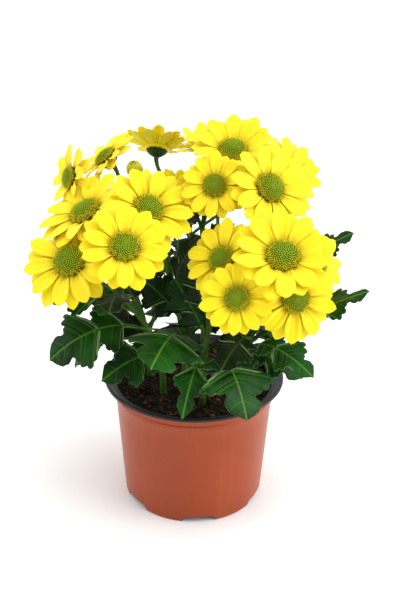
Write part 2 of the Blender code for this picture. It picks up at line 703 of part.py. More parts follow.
def make_petals(name, bloom, collection, material, room, chance):
    spot, (yaw, up), radius, count, cup = bloom
    spot = Vector(spot)
    axis = facing(yaw, up)
    side, over = bloom_frame(axis)
    root_radius = radius * DISC_SHARE * ROOT_SHARE
    low = 2 * TIER + TIER_BAND
    sector = math.pi / count
    bm = bmesh.new()

    def ring(depth, shift):
        row = []
        for index in range(count):
            turn = 2 * index * sector + shift
            out = side * math.cos(turn) + over * math.sin(turn)
            row.append(spot - axis * depth + out * root_radius)
        return row

    levels = [ring(0, 0), ring(TIER, 0), ring(TIER + TIER_BAND, sector), ring(low, sector)]
    rings = [[bm.verts.new(point) for point in level] for level in levels]
    bm.faces.new(rings[0])
    bm.faces.new(list(reversed(rings[3])))
    for index in range(count):
        ahead = (index + 1) % count
        bm.faces.new((rings[1][index], rings[2][index], rings[1][ahead]))
        bm.faces.new((rings[1][ahead], rings[2][index], rings[2][ahead]))
    own = Room()
    for tier, droop in ((0, 0.0), (2, LOWER_DROOP)):
        for index in range(count):
            ahead = (index + 1) % count
            corners = [level[place] for level in rings[tier:tier + 2] for place in (index, ahead)]
            root = [corner.co.copy() for corner in corners]
            middle = (root[2] + root[3]) / 2
            out = middle - spot
            out = (out - axis * out.dot(axis)).normalized()
            length = (radius - root_radius) * chance.uniform(*PETAL_LENGTHS)
            width = radius * chance.uniform(*PETAL_WIDTHS)
            across = (root[1] - root[0]).normalized()
            petal = Petal(middle, axis, out, across, length, width)
            pitch = cup - droop + chance.uniform(-PITCH_SPREAD, PITCH_SPREAD)
            rows = clear_petal(petal, root, pitch, room, own, tier)
            if rows is None:
                bm.faces.new((corners[0], corners[2], corners[3], corners[1]))
                continue
            points = petal_points(root, rows)
            own.add(tier, points, PETAL_FACES)
            made = corners + [bm.verts.new(point) for point in points[4:]]
            for face in PETAL_FACES:
                bm.faces.new([made[corner] for corner in face])
    for face in bm.faces:
        face.smooth = True
    mesh = mesh_from(bm, name)
    room.add_mesh(name, mesh)
    mesh.set_sharp_from_angle(angle=math.radians(50))
    return add_object(name, mesh, collection, material)


def clear_petal(petal, root, pitch, room, own, tier):
    for length_share in LENGTH_SHARES:
        for bend in PITCH_BENDS:
            if abs(pitch + bend) > PITCH_LIMIT:
                continue
            wide = petal_points(root, petal.stations(pitch + bend, length_share, PETAL_CLEARANCE))
            if not room.is_clear(wide, PETAL_FACES, ()):
                continue
            rows = petal.stations(pitch + bend, length_share, 0.0)
            if own.is_clear(petal_points(root, rows), PETAL_FACES, (tier,)):
                return rows
    return None


# Discs and bud


def make_disc(name, bloom, collection, material):
    spot, (yaw, up), radius = bloom[:3]
    axis = facing(yaw, up)
    disc_radius = radius * DISC_SHARE
    dome = DISC_DOME * disc_radius

    def raise_point(share, angle):
        ring = round(share * 10)
        step = round(angle / (2 * math.pi / DISC_SIDES))
        relief = FLORET_RELIEF if (ring + step) % 2 else -FLORET_RELIEF
        return dome * (1 - share * share) + relief * (0.1 < share < 0.95)

    bm = make_mound(DISC_SIDES, disc_radius, disc_radius, DISC_WALL, DISC_RINGS, raise_point)
    foot = Vector(spot) + axis * (GAP + DISC_WALL / 2)
    bmesh.ops.transform(bm, verts=bm.verts, matrix=turn_to(axis, foot))
    mesh = mesh_from(bm, name)
    return add_object(name, mesh, collection, material)


def make_bud(name, collection, material):
    spot, (yaw, up), radius = BUD
    axis = facing(yaw, up)
    bm = bmesh.new()
    bmesh.ops.create_uvsphere(bm, u_segments=BUD_SIDES, v_segments=BUD_ROWS, radius=radius)
    for vertex in bm.verts:
        angle = math.atan2(vertex.co.y, vertex.co.x)
        share = math.hypot(vertex.co.x, vertex.co.y) / radius
        rib = 1 + BUD_RIB_DEPTH * math.cos(BUD_RIBS * angle) * share
        vertex.co.x *= rib
        vertex.co.y *= rib
    bmesh.ops.transform(bm, verts=bm.verts, matrix=turn_to(axis, Vector(spot)))
    mesh = mesh_from(bm, name)
    mesh.shade_smooth()
    return add_object(name, mesh, collection, material)


def main():
    clear_scene()
    collection = make_collection(OBJECT_NAME)
    pot_cutters = make_collection("pot_cutters")
    soil_cutters = make_collection("soil_cutters")
    scrap = make_collection("scrap")
    terracotta = make_material("terracotta_plastic", (0.42, 0.10, 0.04), 0.35)
    peat = make_material("peat", (0.02, 0.012, 0.008), 0.95)
    foliage = make_material("foliage", (0.03, 0.12, 0.015), 0.5)
    petal = make_material("petal", (0.95, 0.75, 0.02), 0.5)
    floret = make_material("floret", (0.25, 0.36, 0.02), 0.7)
    chance = random.Random(SEED)
    room = Room()
    pot = make_pot(collection, pot_cutters, terracotta)
    make_soil(collection, soil_cutters, peat)
    bpy.context.view_layer.update()
    room.add_mesh("pot", pot.evaluated_get(bpy.context.evaluated_depsgraph_get()).data)
    routes = {name: stem_route(name) for name in STEMS}
    homes = {name: make_collection(name + "_pieces") for name in STEMS}
    pieces = {name: make_stem_pieces(name, routes[name], homes[name], room) for name in STEMS}
    for letter, bloom in BLOOMS.items():
        disc = make_disc(f"bloom_{letter}_disc", bloom, collection, floret)
        room.add_mesh(disc.name, disc.data)
    bud = make_bud("bud", collection, floret)
    room.add_mesh("bud", bud.data)
    make_listed_leaves("front", FRONT_LEAVES, FRONT_LOBES, routes, homes, room, pieces)
    for letter, bloom in BLOOMS.items():
        make_petals(f"bloom_{letter}_petals", bloom, collection, petal, room, chance)
    make_listed_leaves("inner", INNER_LEAVES, BACK_LOBES, routes, homes, room, pieces)
    make_filler_leaves(routes, homes, room, pieces, chance)
    for name in STEMS:
        fuse(name, pieces[name], collection, scrap, foliage)
        bpy.data.collections.remove(homes[name])
    bpy.data.collections.remove(scrap)


main()
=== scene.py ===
import math
import random

import bmesh
import bpy
import numpy as np
from mathutils import Matrix, Vector, noise
from mathutils.kdtree import KDTree


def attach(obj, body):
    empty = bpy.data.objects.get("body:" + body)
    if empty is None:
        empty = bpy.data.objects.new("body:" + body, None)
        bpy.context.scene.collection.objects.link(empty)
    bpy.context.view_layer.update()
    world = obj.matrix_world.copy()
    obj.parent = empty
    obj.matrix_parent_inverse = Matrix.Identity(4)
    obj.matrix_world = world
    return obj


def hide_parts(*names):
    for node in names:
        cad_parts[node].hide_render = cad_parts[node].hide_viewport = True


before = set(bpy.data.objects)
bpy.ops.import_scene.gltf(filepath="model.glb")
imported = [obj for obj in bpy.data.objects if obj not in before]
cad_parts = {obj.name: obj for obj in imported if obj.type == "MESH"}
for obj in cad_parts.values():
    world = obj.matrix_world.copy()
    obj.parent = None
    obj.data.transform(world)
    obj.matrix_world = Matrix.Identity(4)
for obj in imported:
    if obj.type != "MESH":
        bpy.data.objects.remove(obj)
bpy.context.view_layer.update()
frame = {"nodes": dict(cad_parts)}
nodes = frame["nodes"]
print("frame loaded:", len(nodes), "solids")

# How the plant grows, in metres, as its solids were made. -Y is the front and +Z is up.

pot = {
    "height": 0.0877, "rim": 0.060, "top": 0.0535, "base": 0.0476, "wall": 0.0014,
    "lipDepth": 0.0023, "lipRoot": 0.0834, "floor": 0.0056, "foot": 0.0024,
    "collar": 0.0775, "collarDepth": 0.0018, "collarProud": 0.0005,
    "notches": 6, "firstNotch": -84, "notchTop": 0.018, "notchBottom": 0.024, "notchHeight": 0.004,
    "notchReach": 0.012, "notchBevel": 0.0007, "drain": 0.0035, "drainCircle": 0.036, "sides": 192,
}
growth = {
    "seed": 12, "gap": 0.0003, "holeFloor": 0.064, "stemSteps": 5, "fork": 0.7, "pull": 0.35,
    "discShare": 0.335, "rootShare": 1.03, "tier": 0.0010, "band": 0.0003, "golden": math.radians(137.5),
    "calyx": 0.0042, "calyxSink": 0.4, "budCalyx": 0.8, "stalkRadius": 0.0012, "stemRadius": 0.0021,
    "lobeWave": 0.05,
}
fillers = {  # the seeded leaves along each stem
    "perStem": 5, "tries": 8, "lowest": 0.104, "step": 0.013, "nextStem": 2.1, "lengths": (0.036, 0.052),
    "rises": (-0.05, 0.45), "roll": 12, "arch": 0.006, "width": 0.64, "stalk": 0.24, "bends": 5,
}
ringDepth = 2 * growth["tier"] + growth["band"]

# Each stem: where it stands in the peat (x, y), where it forks and the blooms that it carries.
stems = {
    "stem_1": ((-0.020, -0.018), (-0.042, -0.034, 0.156), ("a", "b")),
    "stem_2": ((-0.030, 0.004), (-0.052, 0.008, 0.170), ("c", "e", "f")),
    "stem_3": ((-0.006, -0.008), (-0.020, -0.008, 0.176), ("d", "j", "bud")),
    "stem_4": ((0.006, -0.030), (0.010, -0.036, 0.146), ("k", "q", "r")),
    "stem_5": ((0.026, -0.020), (0.040, -0.034, 0.140), ("p", "s")),
    "stem_6": ((0.032, 0.006), (0.046, 0.004, 0.160), ("n", "o", "t", "w")),
    "stem_7": ((0.006, 0.014), (0.004, 0.022, 0.182), ("g", "l", "m")),
    "stem_8": ((-0.006, 0.036), (-0.012, 0.046, 0.150), ("x", "y", "z")),
}

# Each bloom: disc centre, the way it faces (degrees to the right of the front, degrees up), radius,
# petals in each of its two whorls and how far they cup forward (degrees).
blooms = {
    "p": ((0.049, -0.062, 0.196), (4, 52), 0.0295, 10, 20),
    "a": ((-0.038, -0.065, 0.201), (8, 42), 0.0260, 10, 12),
    "r": ((0.024, -0.075, 0.176), (-8, 28), 0.0215, 10, 6),
    "k": ((0.011, -0.025, 0.225), (-8, 34), 0.0210, 10, 8),
    "n": ((0.043, -0.025, 0.224), (30, 38), 0.0275, 10, 14),
    "d": ((-0.027, -0.035, 0.213), (22, 46), 0.0275, 9, 16),
    "c": ((-0.066, -0.015, 0.204), (-50, 58), 0.0305, 10, 18),
    "b": ((-0.0725, -0.042, 0.183), (-18, 42), 0.0295, 10, 6),
    "s": ((0.058, -0.058, 0.169), (16, 18), 0.0262, 9, 4),
    "q": ((0.016, -0.050, 0.189), (-34, 34), 0.0240, 9, 8),
    "l": ((0.022, 0.010, 0.2365), (0, 58), 0.0275, 10, 24),
    "e": ((-0.058, 0.030, 0.226), (-72, 50), 0.0225, 9, 14),
    "f": ((-0.079, 0.015, 0.217), (-56, 20), 0.0210, 8, 10),
    "g": ((-0.027, 0.055, 0.227), (172, 54), 0.0235, 9, 30),
    "m": ((0.008, 0.043, 0.230), (-30, 82), 0.0250, 9, 40),
    "o": ((0.056, 0.018, 0.222), (46, 48), 0.0255, 9, 26),
    "t": ((0.074, -0.018, 0.175), (50, 34), 0.0225, 9, 10),
    "j": ((-0.014, 0.000, 0.214), (150, 20), 0.0160, 8, 26),
    "w": ((0.066, 0.045, 0.162), (116, 26), 0.0235, 8, 8),
    "x": ((-0.066, 0.054, 0.180), (-135, 30), 0.0235, 8, 8),
    "y": ((-0.018, 0.076, 0.186), (176, 26), 0.0240, 8, 8),
    "z": ((0.036, 0.064, 0.202), (150, 40), 0.0240, 8, 8),
}
closedBud = ((-0.038, 0.005, 0.226), (-20, 70), 0.0048)

# Leaves seen from the front: stem, height where the leaf stalk starts, tip, arch above the straight line,
# blade width, roll about the midrib (degrees) and the share of the length that is stalk.
frontLeaves = (
    ("stem_1", 0.132, (-0.086, -0.054, 0.124), 0.014, 0.044, -22, 0.26),
    ("stem_1", 0.146, (-0.088, -0.036, 0.158), 0.006, 0.030, -24, 0.22),
    ("stem_2", 0.112, (-0.076, -0.026, 0.104), 0.010, 0.030, 30, 0.30),
    ("stem_3", 0.114, (-0.023, -0.086, 0.137), 0.012, 0.052, -8, 0.32),
    ("stem_1", 0.104, (-0.056, -0.050, 0.108), 0.016, 0.034, -30, 0.22),
    ("stem_4", 0.118, (-0.006, -0.074, 0.097), 0.018, 0.022, -10, 0.20),
    ("stem_4", 0.104, (0.032, -0.083, 0.102), 0.024, 0.052, 0, 0.42),
    ("stem_5", 0.108, (0.067, -0.048, 0.111), 0.014, 0.032, 24, 0.32),
    ("stem_6", 0.146, (0.099, 0.002, 0.188), 0.004, 0.022, 30, 0.42),
    ("stem_5", 0.126, (0.102, -0.048, 0.170), 0.002, 0.028, 22, 0.40),
    ("stem_5", 0.114, (0.071, -0.066, 0.122), 0.016, 0.030, 20, 0.38),
    ("stem_7", 0.168, (-0.018, 0.020, 0.222), -0.006, 0.018, 0, 0.40),
)

# Leaves in the dark of the plant, seen between the blooms: the same values.
innerLeaves = (
    ("stem_3", 0.150, (0.004, -0.014, 0.190), 0.006, 0.032, 62, 0.26),
    ("stem_4", 0.130, (-0.012, -0.030, 0.168), 0.006, 0.034, -62, 0.26),
    ("stem_4", 0.142, (0.000, -0.020, 0.182), 0.004, 0.030, -62, 0.26),
    ("stem_7", 0.150, (0.024, 0.004, 0.192), 0.006, 0.034, 62, 0.26),
    ("stem_7", 0.166, (0.012, 0.008, 0.212), 0.004, 0.026, 50, 0.26),
    ("stem_7", 0.134, (-0.014, 0.004, 0.172), 0.006, 0.034, -62, 0.26),
    ("stem_6", 0.138, (0.028, -0.004, 0.182), 0.006, 0.032, -62, 0.26),
    ("stem_6", 0.126, (0.066, -0.004, 0.152), 0.006, 0.032, 50, 0.26),
    ("stem_5", 0.118, (0.020, -0.018, 0.146), 0.006, 0.030, -55, 0.26),
    ("stem_3", 0.132, (-0.034, -0.018, 0.164), 0.006, 0.032, -62, 0.26),
)

# One side of a lobed blade: share of the blade's length, share of its half width.
frontLobes = (
    ((0.05, 0.34), (0.20, 0.78), (0.31, 0.72), (0.37, 0.28)),
    ((0.46, 0.60), (0.60, 1.00), (0.70, 0.72), (0.73, 0.32)),
    ((0.85, 0.50), (0.94, 0.30)),
)
backLobes = (
    ((0.05, 0.36), (0.22, 0.84), (0.37, 0.32)),
    ((0.58, 1.00), (0.73, 0.40)),
    ((0.88, 0.50),),
)


def facing(yaw, up):
    yaw, up = math.radians(yaw), math.radians(up)
    return Vector((math.sin(yaw) * math.cos(up), -math.cos(yaw) * math.cos(up), math.sin(up)))


def bezier(points, share):
    row = [Vector(point) for point in points]
    while len(row) > 1:
        row = [one.lerp(two, share) for one, two in zip(row, row[1:])]
    return row[0]


def bezierRow(points, steps):
    return [bezier(points, step / steps) for step in range(steps + 1)]


def turnTo(axis, spot):
    return Matrix.Translation(spot) @ axis.to_track_quat("Z", "Y").to_matrix().to_4x4()


def potRadius(height):
    return pot["base"] + (pot["top"] - pot["base"]) * height / pot["lipRoot"]


def rootRadius(radius):
    return radius * growth["discShare"] * growth["rootShare"]


def placed(name, data):
    item = bpy.data.objects.new(name, data)
    bpy.context.scene.collection.objects.link(item)
    return item


# Meshes are gathered as arrays. Each point carries two vectors for its material: map says where on the
# form it lies and tone says what it is.

def unit(vectors):
    return vectors / np.maximum(np.linalg.norm(vectors, axis=-1, keepdims=True), 1e-12)


def gridFaces(rows, columns, wrap=False):
    index = np.arange(rows * columns).reshape(rows, columns)
    if wrap:
        index = np.concatenate([index, index[:, :1]], axis=1)
    corners = [index[:-1, :-1], index[:-1, 1:], index[1:, 1:], index[1:, :-1]]
    return np.stack(corners, -1).reshape(-1, 4)


def ringCaps(count, sides):
    # fans that close the first and the last ring, at two points that follow the rings
    ring = np.arange(sides)
    last = ring + count - sides
    return [
        np.stack([np.roll(ring, -1), ring, np.full(sides, count)], -1),
        np.stack([last, np.roll(last, -1), np.full(sides, count + 1)], -1),
    ]


def sheetPlaces(rows, columns):
    # at each point of a sheet: 0 at its root to 1 at its tip, and -1 at its left to 1 at its right
    return np.broadcast_arrays(np.linspace(0, 1, rows)[:, None], np.linspace(-1, 1, columns)[None, :])


def spread(values, points):
    return np.broadcast_to(np.asarray(values, float), (len(points), 3))


class Shape:
    def __init__(self):
        self.points, self.faces, self.maps, self.tones = [], [], [], []
        self.count = 0

    def add(self, points, faces, place=(0, 0, 0), tone=(0, 0, 0), matrix=None):
        points = np.asarray(points, float).reshape(-1, 3)
        if matrix is not None:
            matrix = np.array(matrix)
            points = points @ matrix[:3, :3].T + matrix[:3, 3]
        self.points.append(points)
        self.faces += [np.asarray(group) + self.count for group in faces]
        self.maps.append(spread(place, points))
        self.tones.append(spread(tone, points))
        self.count += len(points)

    def build(self, name, finish, slot, node):
        points = np.concatenate(self.points)
        loops = np.concatenate([group.ravel() for group in self.faces])
        totals = np.concatenate([np.full(len(group), group.shape[1]) for group in self.faces])
        mesh = bpy.data.meshes.new(name)
        mesh.vertices.add(len(points))
        mesh.vertices.foreach_set("co", points.ravel())
        mesh.loops.add(len(loops))
        mesh.loops.foreach_set("vertex_index", loops)
        mesh.polygons.add(len(totals))
        mesh.polygons.foreach_set("loop_start", np.cumsum(totals) - totals)
        mesh.update(calc_edges=True)
        for label, rows in (("map", self.maps), ("tone", self.tones)):
            layer = mesh.attributes.new(label, "FLOAT_VECTOR", "POINT")
            layer.data.foreach_set("vector", np.concatenate(rows).ravel())
        mesh.shade_smooth()
        ownPiece(name, mesh, finish, node)


def ownPiece(name, mesh, finish, node):
    item = placed(name, mesh)
    mesh.materials.append(finish.material)
    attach(item, "root")
    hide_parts(node)


def addBlade(shape, top, thickness, across, ahead, tone, matrix=None):
    # a thin closed sheet from its upper face, rows from root to tip and columns from left to right
    rows, columns = top.shape[:2]
    up = unit(np.cross(np.gradient(top, axis=1), np.gradient(top, axis=0)))
    low = top - up * thickness[..., None]
    upper = gridFaces(rows, columns)
    index = np.arange(rows * columns).reshape(rows, columns)
    loop = np.concatenate([index[0, :-1], index[:-1, -1], index[-1, :0:-1], index[:0:-1, 0]])
    following, lower = np.roll(loop, -1), rows * columns
    rim = np.stack([loop + lower, following + lower, following, loop], -1)
    faces = [upper, upper[:, ::-1] + lower, rim]
    under = np.zeros((rows, columns))
    maps = np.concatenate([
        np.stack([across, ahead, under + side], -1).reshape(-1, 3) for side in (0, 1)
    ])
    points = np.concatenate([top.reshape(-1, 3), low.reshape(-1, 3)])
    shape.add(points, faces, maps, tone, matrix)


def addTube(shape, path, radii, sides, tone):
    path = np.array(path, float)
    steps = unit(np.gradient(path, axis=0))
    side = unit(np.cross(steps[0], (0.31, 0.87, 0.12)))
    turns = np.linspace(0, 2 * math.pi, sides, endpoint=False)
    rings, maps = [], []
    far = np.concatenate([[0], np.cumsum(np.linalg.norm(np.diff(path, axis=0), axis=1))])
    for spot, step, radius, reach in zip(path, steps, radii, far):
        side = unit(side - step * np.dot(side, step))
        over = np.cross(step, side)
        rings.append(spot + radius * (np.outer(np.cos(turns), side) + np.outer(np.sin(turns), over)))
        maps.append(np.stack([turns / (2 * math.pi), np.full(sides, reach), np.zeros(sides)], -1))
    count = len(path) * sides
    ends = np.array([path[0], path[-1]])
    maps.append([[0, far[0], 0], [0, far[-1], 0]])
    points = np.concatenate(rings + [ends])
    faces = [gridFaces(len(path), sides, True), *ringCaps(count, sides)]
    shape.add(points, faces, np.concatenate(maps), tone)


def addLathe(shape, profile, sides, tone, matrix):
    # a turned form: profile goes from low to high outside, its ends may lie on the axis
    turns = np.linspace(0, 2 * math.pi, sides, endpoint=False)
    rings, maps = [], []
    for order, (radius, height) in enumerate(profile):
        row = np.stack([radius * np.cos(turns), radius * np.sin(turns), np.full(sides, height)], -1)
        rings.append(row)
        share = order / (len(profile) - 1)
        maps.append(np.stack([turns / (2 * math.pi), np.full(sides, share), np.zeros(sides)], -1))
    faces = [gridFaces(len(profile), sides, True)]
    shape.add(np.concatenate(rings), faces, np.concatenate(maps), tone, matrix)


# Materials: arithmetic on a Wire adds Math nodes, and every other node comes from Nodes.node.

def tint(*levels):
    shares = [level / 255 for level in levels]
    return (*[c / 12.92 if c <= 0.04045 else ((c + 0.055) / 1.055) ** 2.4 for c in shares], 1.0)


class Wire:
    def __init__(self, nodes, socket):
        self.nodes, self.socket = nodes, socket

    def math(self, operation, *values):
        return self.nodes.node("ShaderNodeMath", {"operation": operation}, dict(enumerate(values)))

    def __add__(self, other):
        return self.math("ADD", self, other)

    def __sub__(self, other):
        return self.math("SUBTRACT", self, other)

    def __rsub__(self, other):
        return self.math("SUBTRACT", other, self)

    def __mul__(self, other):
        return self.math("MULTIPLY", self, other)

    def __pow__(self, other):
        return self.math("POWER", self, other)

    def __abs__(self):
        return self.math("ABSOLUTE", self)

    __radd__ = __add__
    __rmul__ = __mul__

    def most(self, other):
        return self.math("MAXIMUM", self, other)

    def sine(self):
        return self.math("SINE", self)


class Nodes:
    def __init__(self, tree):
        self.tree = tree

    def node(self, kind, settings=None, sockets=None, out=0):
        made = self.tree.nodes.new(kind)
        for name, value in (settings or {}).items():
            if name == "stops":
                self.setStops(made.color_ramp.elements, value)
            else:
                setattr(made, name, value)
        for name, value in (sockets or {}).items():
            if isinstance(value, Wire):
                self.tree.links.new(value.socket, made.inputs[name])
            else:
                made.inputs[name].default_value = value
        return Wire(self, made.outputs[out])

    def setStops(self, elements, stops):
        while len(elements) < len(stops):
            elements.new(1.0)
        for element, (place, colour) in zip(elements, stops):
            element.position, element.color = place, colour

    def step(self, value, low, high):  # eases from 0 at low to 1 at high
        ends = {"Value": value, "From Min": low, "From Max": high}
        return self.node("ShaderNodeMapRange", {"interpolation_type": "SMOOTHSTEP"}, ends)

    def mix(self, share, one, two):
        return self.node("ShaderNodeMix", {"data_type": "RGBA"}, {0: share, 6: one, 7: two}, 2)

    def noise(self, place, scale, detail=3.0, roughness=0.5, stretch=None):
        if stretch:
            place = self.node("ShaderNodeVectorMath", {"operation": "MULTIPLY"}, {0: place, 1: stretch})
        sockets = {"Vector": place, "Scale": scale, "Detail": detail, "Roughness": roughness}
        return self.node("ShaderNodeTexNoise", None, sockets)

    def parts(self, vector):
        made = self.node("ShaderNodeSeparateXYZ", None, {0: vector}).socket.node
        return [Wire(self, output) for output in made.outputs]

    def stored(self, name):
        return self.node("ShaderNodeAttribute", {"attribute_name": name}, None, "Vector")


class Finish(Nodes):
    def __init__(self, name, fixed):
        self.material = bpy.data.materials.new(name)
        self.material.use_nodes = True
        super().__init__(self.material.node_tree)
        self.shader = self.tree.nodes["Principled BSDF"]
        for socket, value in fixed.items():
            self.shader.inputs[socket].default_value = value
        self.place = self.node("ShaderNodeTexCoord", None, None, "Object")
        self.map = self.parts(self.stored("map"))
        self.tone = self.parts(self.stored("tone"))

    def wear(self, colour, roughness, height, depth, strength):
        bump = self.node("ShaderNodeBump", None, {"Height": height, "Distance": depth, "Strength": strength})
        for socket, wire in (("Base Color", colour), ("Roughness", roughness), ("Normal", bump)):
            self.tree.links.new(wire.socket, self.shader.inputs[socket])
        return self


potLook = {"clay": (162, 64, 14), "clayDeep": (140, 52, 8), "black": (20, 20, 22), "roughness": 0.34}


def potFinish():
    finish = Finish("twoColourPlastic", {"IOR": 1.46, "Specular IOR Level": 0.4})
    x, y, z = finish.parts(finish.place)
    radius = (x * x + y * y) ** 0.5
    slope = (pot["top"] - pot["base"]) / pot["lipRoot"]
    flare = (z - pot["lipRoot"]) * 1.32 + (pot["top"] - pot["wall"] + 0.001)
    inside = 1 - finish.step(radius - (z * slope + (pot["base"] - 0.0007)).most(flare), -0.0002, 0.0002)
    lip = finish.step(z, pot["height"] - pot["lipDepth"] - 0.0006, pot["height"] - pot["lipDepth"] - 0.0002)
    black = inside.most(lip)
    cloud = finish.noise(finish.place, 26.0, 3.0, 0.55)
    streak = finish.noise(finish.place, 60.0, 3.0, 0.6, (1.0, 1.0, 0.06))
    clay = finish.mix(cloud, tint(*potLook["clayDeep"]), tint(*potLook["clay"]))
    clay = finish.mix(finish.step(streak, 0.52, 0.8) * 0.22, clay, tint(180, 96, 58))
    dust = finish.step(finish.noise(finish.place, 420.0, 2.0), 0.62, 0.78)
    low = 1 - finish.step(z, 0.002, 0.016)
    clay = finish.mix(dust * low * 0.35, clay, tint(120, 82, 60))
    dark = finish.mix(dust * 0.3, tint(*potLook["black"]), tint(74, 62, 52))
    colour = finish.mix(black, clay, dark)
    roughness = streak * 0.12 + cloud * 0.08 + potLook["roughness"] - 0.08 + black * 0.06
    fine = finish.noise(finish.place, 900.0, 2.0, 0.5)
    height = fine * 0.25 + streak * 0.5 + cloud * 0.4
    return finish.wear(colour, roughness, height, 0.00012, 0.35)


def peatFinish():
    finish = Finish("moistPeat", {"Specular IOR Level": 0.25})
    coarse = finish.noise(finish.place, 140.0, 5.0, 0.65)
    fine = finish.noise(finish.place, 700.0, 4.0, 0.6)
    colour = finish.node("ShaderNodeValToRGB", {"stops": (
        (0.30, tint(12, 9, 7)), (0.50, tint(30, 21, 15)), (0.68, tint(62, 40, 24)), (0.85, tint(104, 66, 34)),
    )}, {0: coarse * 0.6 + fine * 0.4 + finish.tone[1] * 0.16 - 0.06})
    straw = finish.mix(fine, tint(96, 56, 26), tint(178, 116, 58))
    colour = finish.mix(finish.tone[0], colour, straw)
    roughness = 0.95 - finish.step(coarse, 0.35, 0.2) * 0.25
    return finish.wear(colour, roughness, coarse * 0.7 + fine * 0.5, 0.0008, 0.8)


leafVeins = (  # the share of the margin that each reaches, and its strength
    (0.235, 1.0), (0.60, 1.0), (0.87, 0.7), (0.14, 0.5), (0.185, 0.6), (0.29, 0.6), (0.335, 0.5), (0.48, 0.5),
    (0.54, 0.6), (0.66, 0.6), (0.72, 0.5), (0.93, 0.5),
)


def greenFinish():
    # map: across from -1 to 1, ahead along the blade and 1 underneath
    # tone: 0 on a blade, 0.5 on a stalk and 1 on a cup, then its own tone, kept low on the inner leaves as
    # painted shade, and its half width
    finish = Finish("greenLeafAndStalk", {"Specular IOR Level": 0.16})
    across, ahead, under = finish.map
    kind, own, half = finish.tone
    side = abs(across)
    blade = 1 - finish.step(kind, 0.1, 0.3)
    bract = finish.step(kind, 0.7, 0.9)
    rib = 1 - finish.step(side * half, 0.0002, 0.0009)
    vein = rib
    for place, strength in leafVeins:
        gap = abs(ahead - place) + side * 0.0025 + (1 - strength) * 0.003
        vein = vein.most((1 - finish.step(gap, 0.0015, 0.0065)) * (0.72 * strength))
    vein = vein * blade
    cells = {"Vector": finish.place, "Scale": 520.0}
    net = finish.node("ShaderNodeTexVoronoi", {"feature": "DISTANCE_TO_EDGE"}, cells)
    net = 1 - finish.step(net, 0.0, 0.16)
    cloud = finish.noise(finish.place, 70.0, 4.0, 0.55)
    grain = finish.noise(finish.place, 900.0, 2.0, 0.5)
    # own darkens a leaf towards near black: random tone on the front leaves, painted shade on the inner
    # leaves and fillers
    deep = finish.mix(own, tint(2, 12, 1), tint(5, 44, 0))
    fresh = finish.mix(own, tint(4, 22, 2), tint(12, 78, 0))
    top = finish.mix(finish.step(cloud, 0.34, 0.70), deep, fresh)
    top = finish.mix(net * own * 0.10, top, tint(36, 92, 14))
    top = finish.mix(vein * (own * 0.45 + 0.2), top, tint(88, 146, 34))
    margin = finish.step(side, 0.95, 1.0) * finish.step(half, 0.003, 0.006)
    top = finish.mix(margin * own * 0.2, top, tint(96, 136, 70))
    back = finish.mix(cloud, tint(84, 122, 62), tint(120, 152, 94))
    back = finish.mix(vein * 0.6, back, tint(156, 182, 124))
    leaf = finish.mix(under, top, back)
    stalk = finish.mix(finish.step(cloud, 0.3, 0.75), tint(40, 74, 18), tint(82, 122, 36))
    stripe = (across * 62.0).sine() * 0.5 + 0.5
    stalk = finish.mix(stripe * 0.25, stalk, tint(44, 72, 28))
    cup = finish.mix(finish.step(ahead, 0.2, 1.0), tint(16, 42, 8), tint(58, 90, 22))
    cup = finish.mix(finish.step(side, 0.7, 1.0) * 0.5, cup, tint(96, 96, 44))
    colour = finish.mix(blade, finish.mix(bract, stalk, cup), leaf)
    roughness = grain * 0.10 + under * 0.18 + 0.40 + (1 - blade) * 0.08
    height = cloud * 0.35 + grain * 0.10 - net * 0.14 - vein * 0.30 + stripe * (1 - blade) * 0.1
    return finish.wear(colour, roughness, height, 0.00025, 0.6)


def petalFinish():
    finish = Finish("yellowPetal", {"Specular IOR Level": 0.22, "Sheen Weight": 0.1})
    across, ahead, under = finish.map
    own = finish.tone[0]
    side = abs(across)
    # groove falls to 0 in the two lengthwise grooves and at the edges
    groove = (side * (3 * math.pi) + math.pi / 2).sine() * 0.5 + 0.5
    strands = {0: across * 9.0, 1: ahead * 1.6, 2: own * 40.0}
    lines = finish.noise(finish.node("ShaderNodeCombineXYZ", None, strands), 1.6, 4.0, 0.6)
    cloud = finish.noise(finish.place, 160.0, 3.0, 0.5)
    # root: 1 at the petal's root easing to 0 at 40% of its length, used for painted shade near the disc
    root = 1 - finish.step(ahead, 0.02, 0.40)
    bright = finish.mix(own, tint(248, 226, 4), tint(254, 238, 14))
    bright = finish.mix(finish.step(lines, 0.45, 0.75) * 0.3, bright, tint(255, 248, 50))
    # painted shade: the upper face deeper yellow towards its root, in streaks
    colour = finish.mix(root * (lines * 0.3 + 0.08), bright, tint(246, 208, 2))
    # painted shade: the grooves darkened towards deep yellow, less so towards the tip
    colour = finish.mix((1 - groove) * 0.22 * (1 - ahead * 0.4), colour, tint(234, 196, 0))
    # painted shade: a dark band where the petal meets the disc
    colour = finish.mix((1 - finish.step(ahead, 0.0, 0.10)) * 0.5, colour, tint(176, 148, 10))
    back = finish.mix(cloud, tint(246, 216, 12), tint(252, 236, 34))
    # painted shade: the underside darker towards its root
    back = finish.mix(root, back, tint(214, 186, 20))
    colour = finish.mix(under * 0.8, colour, back)
    roughness = lines * 0.14 + 0.46 + cloud * 0.06
    height = lines * 0.6 + groove * 0.25 + cloud * 0.2
    return finish.wear(colour, roughness, height, 0.00018, 0.55)


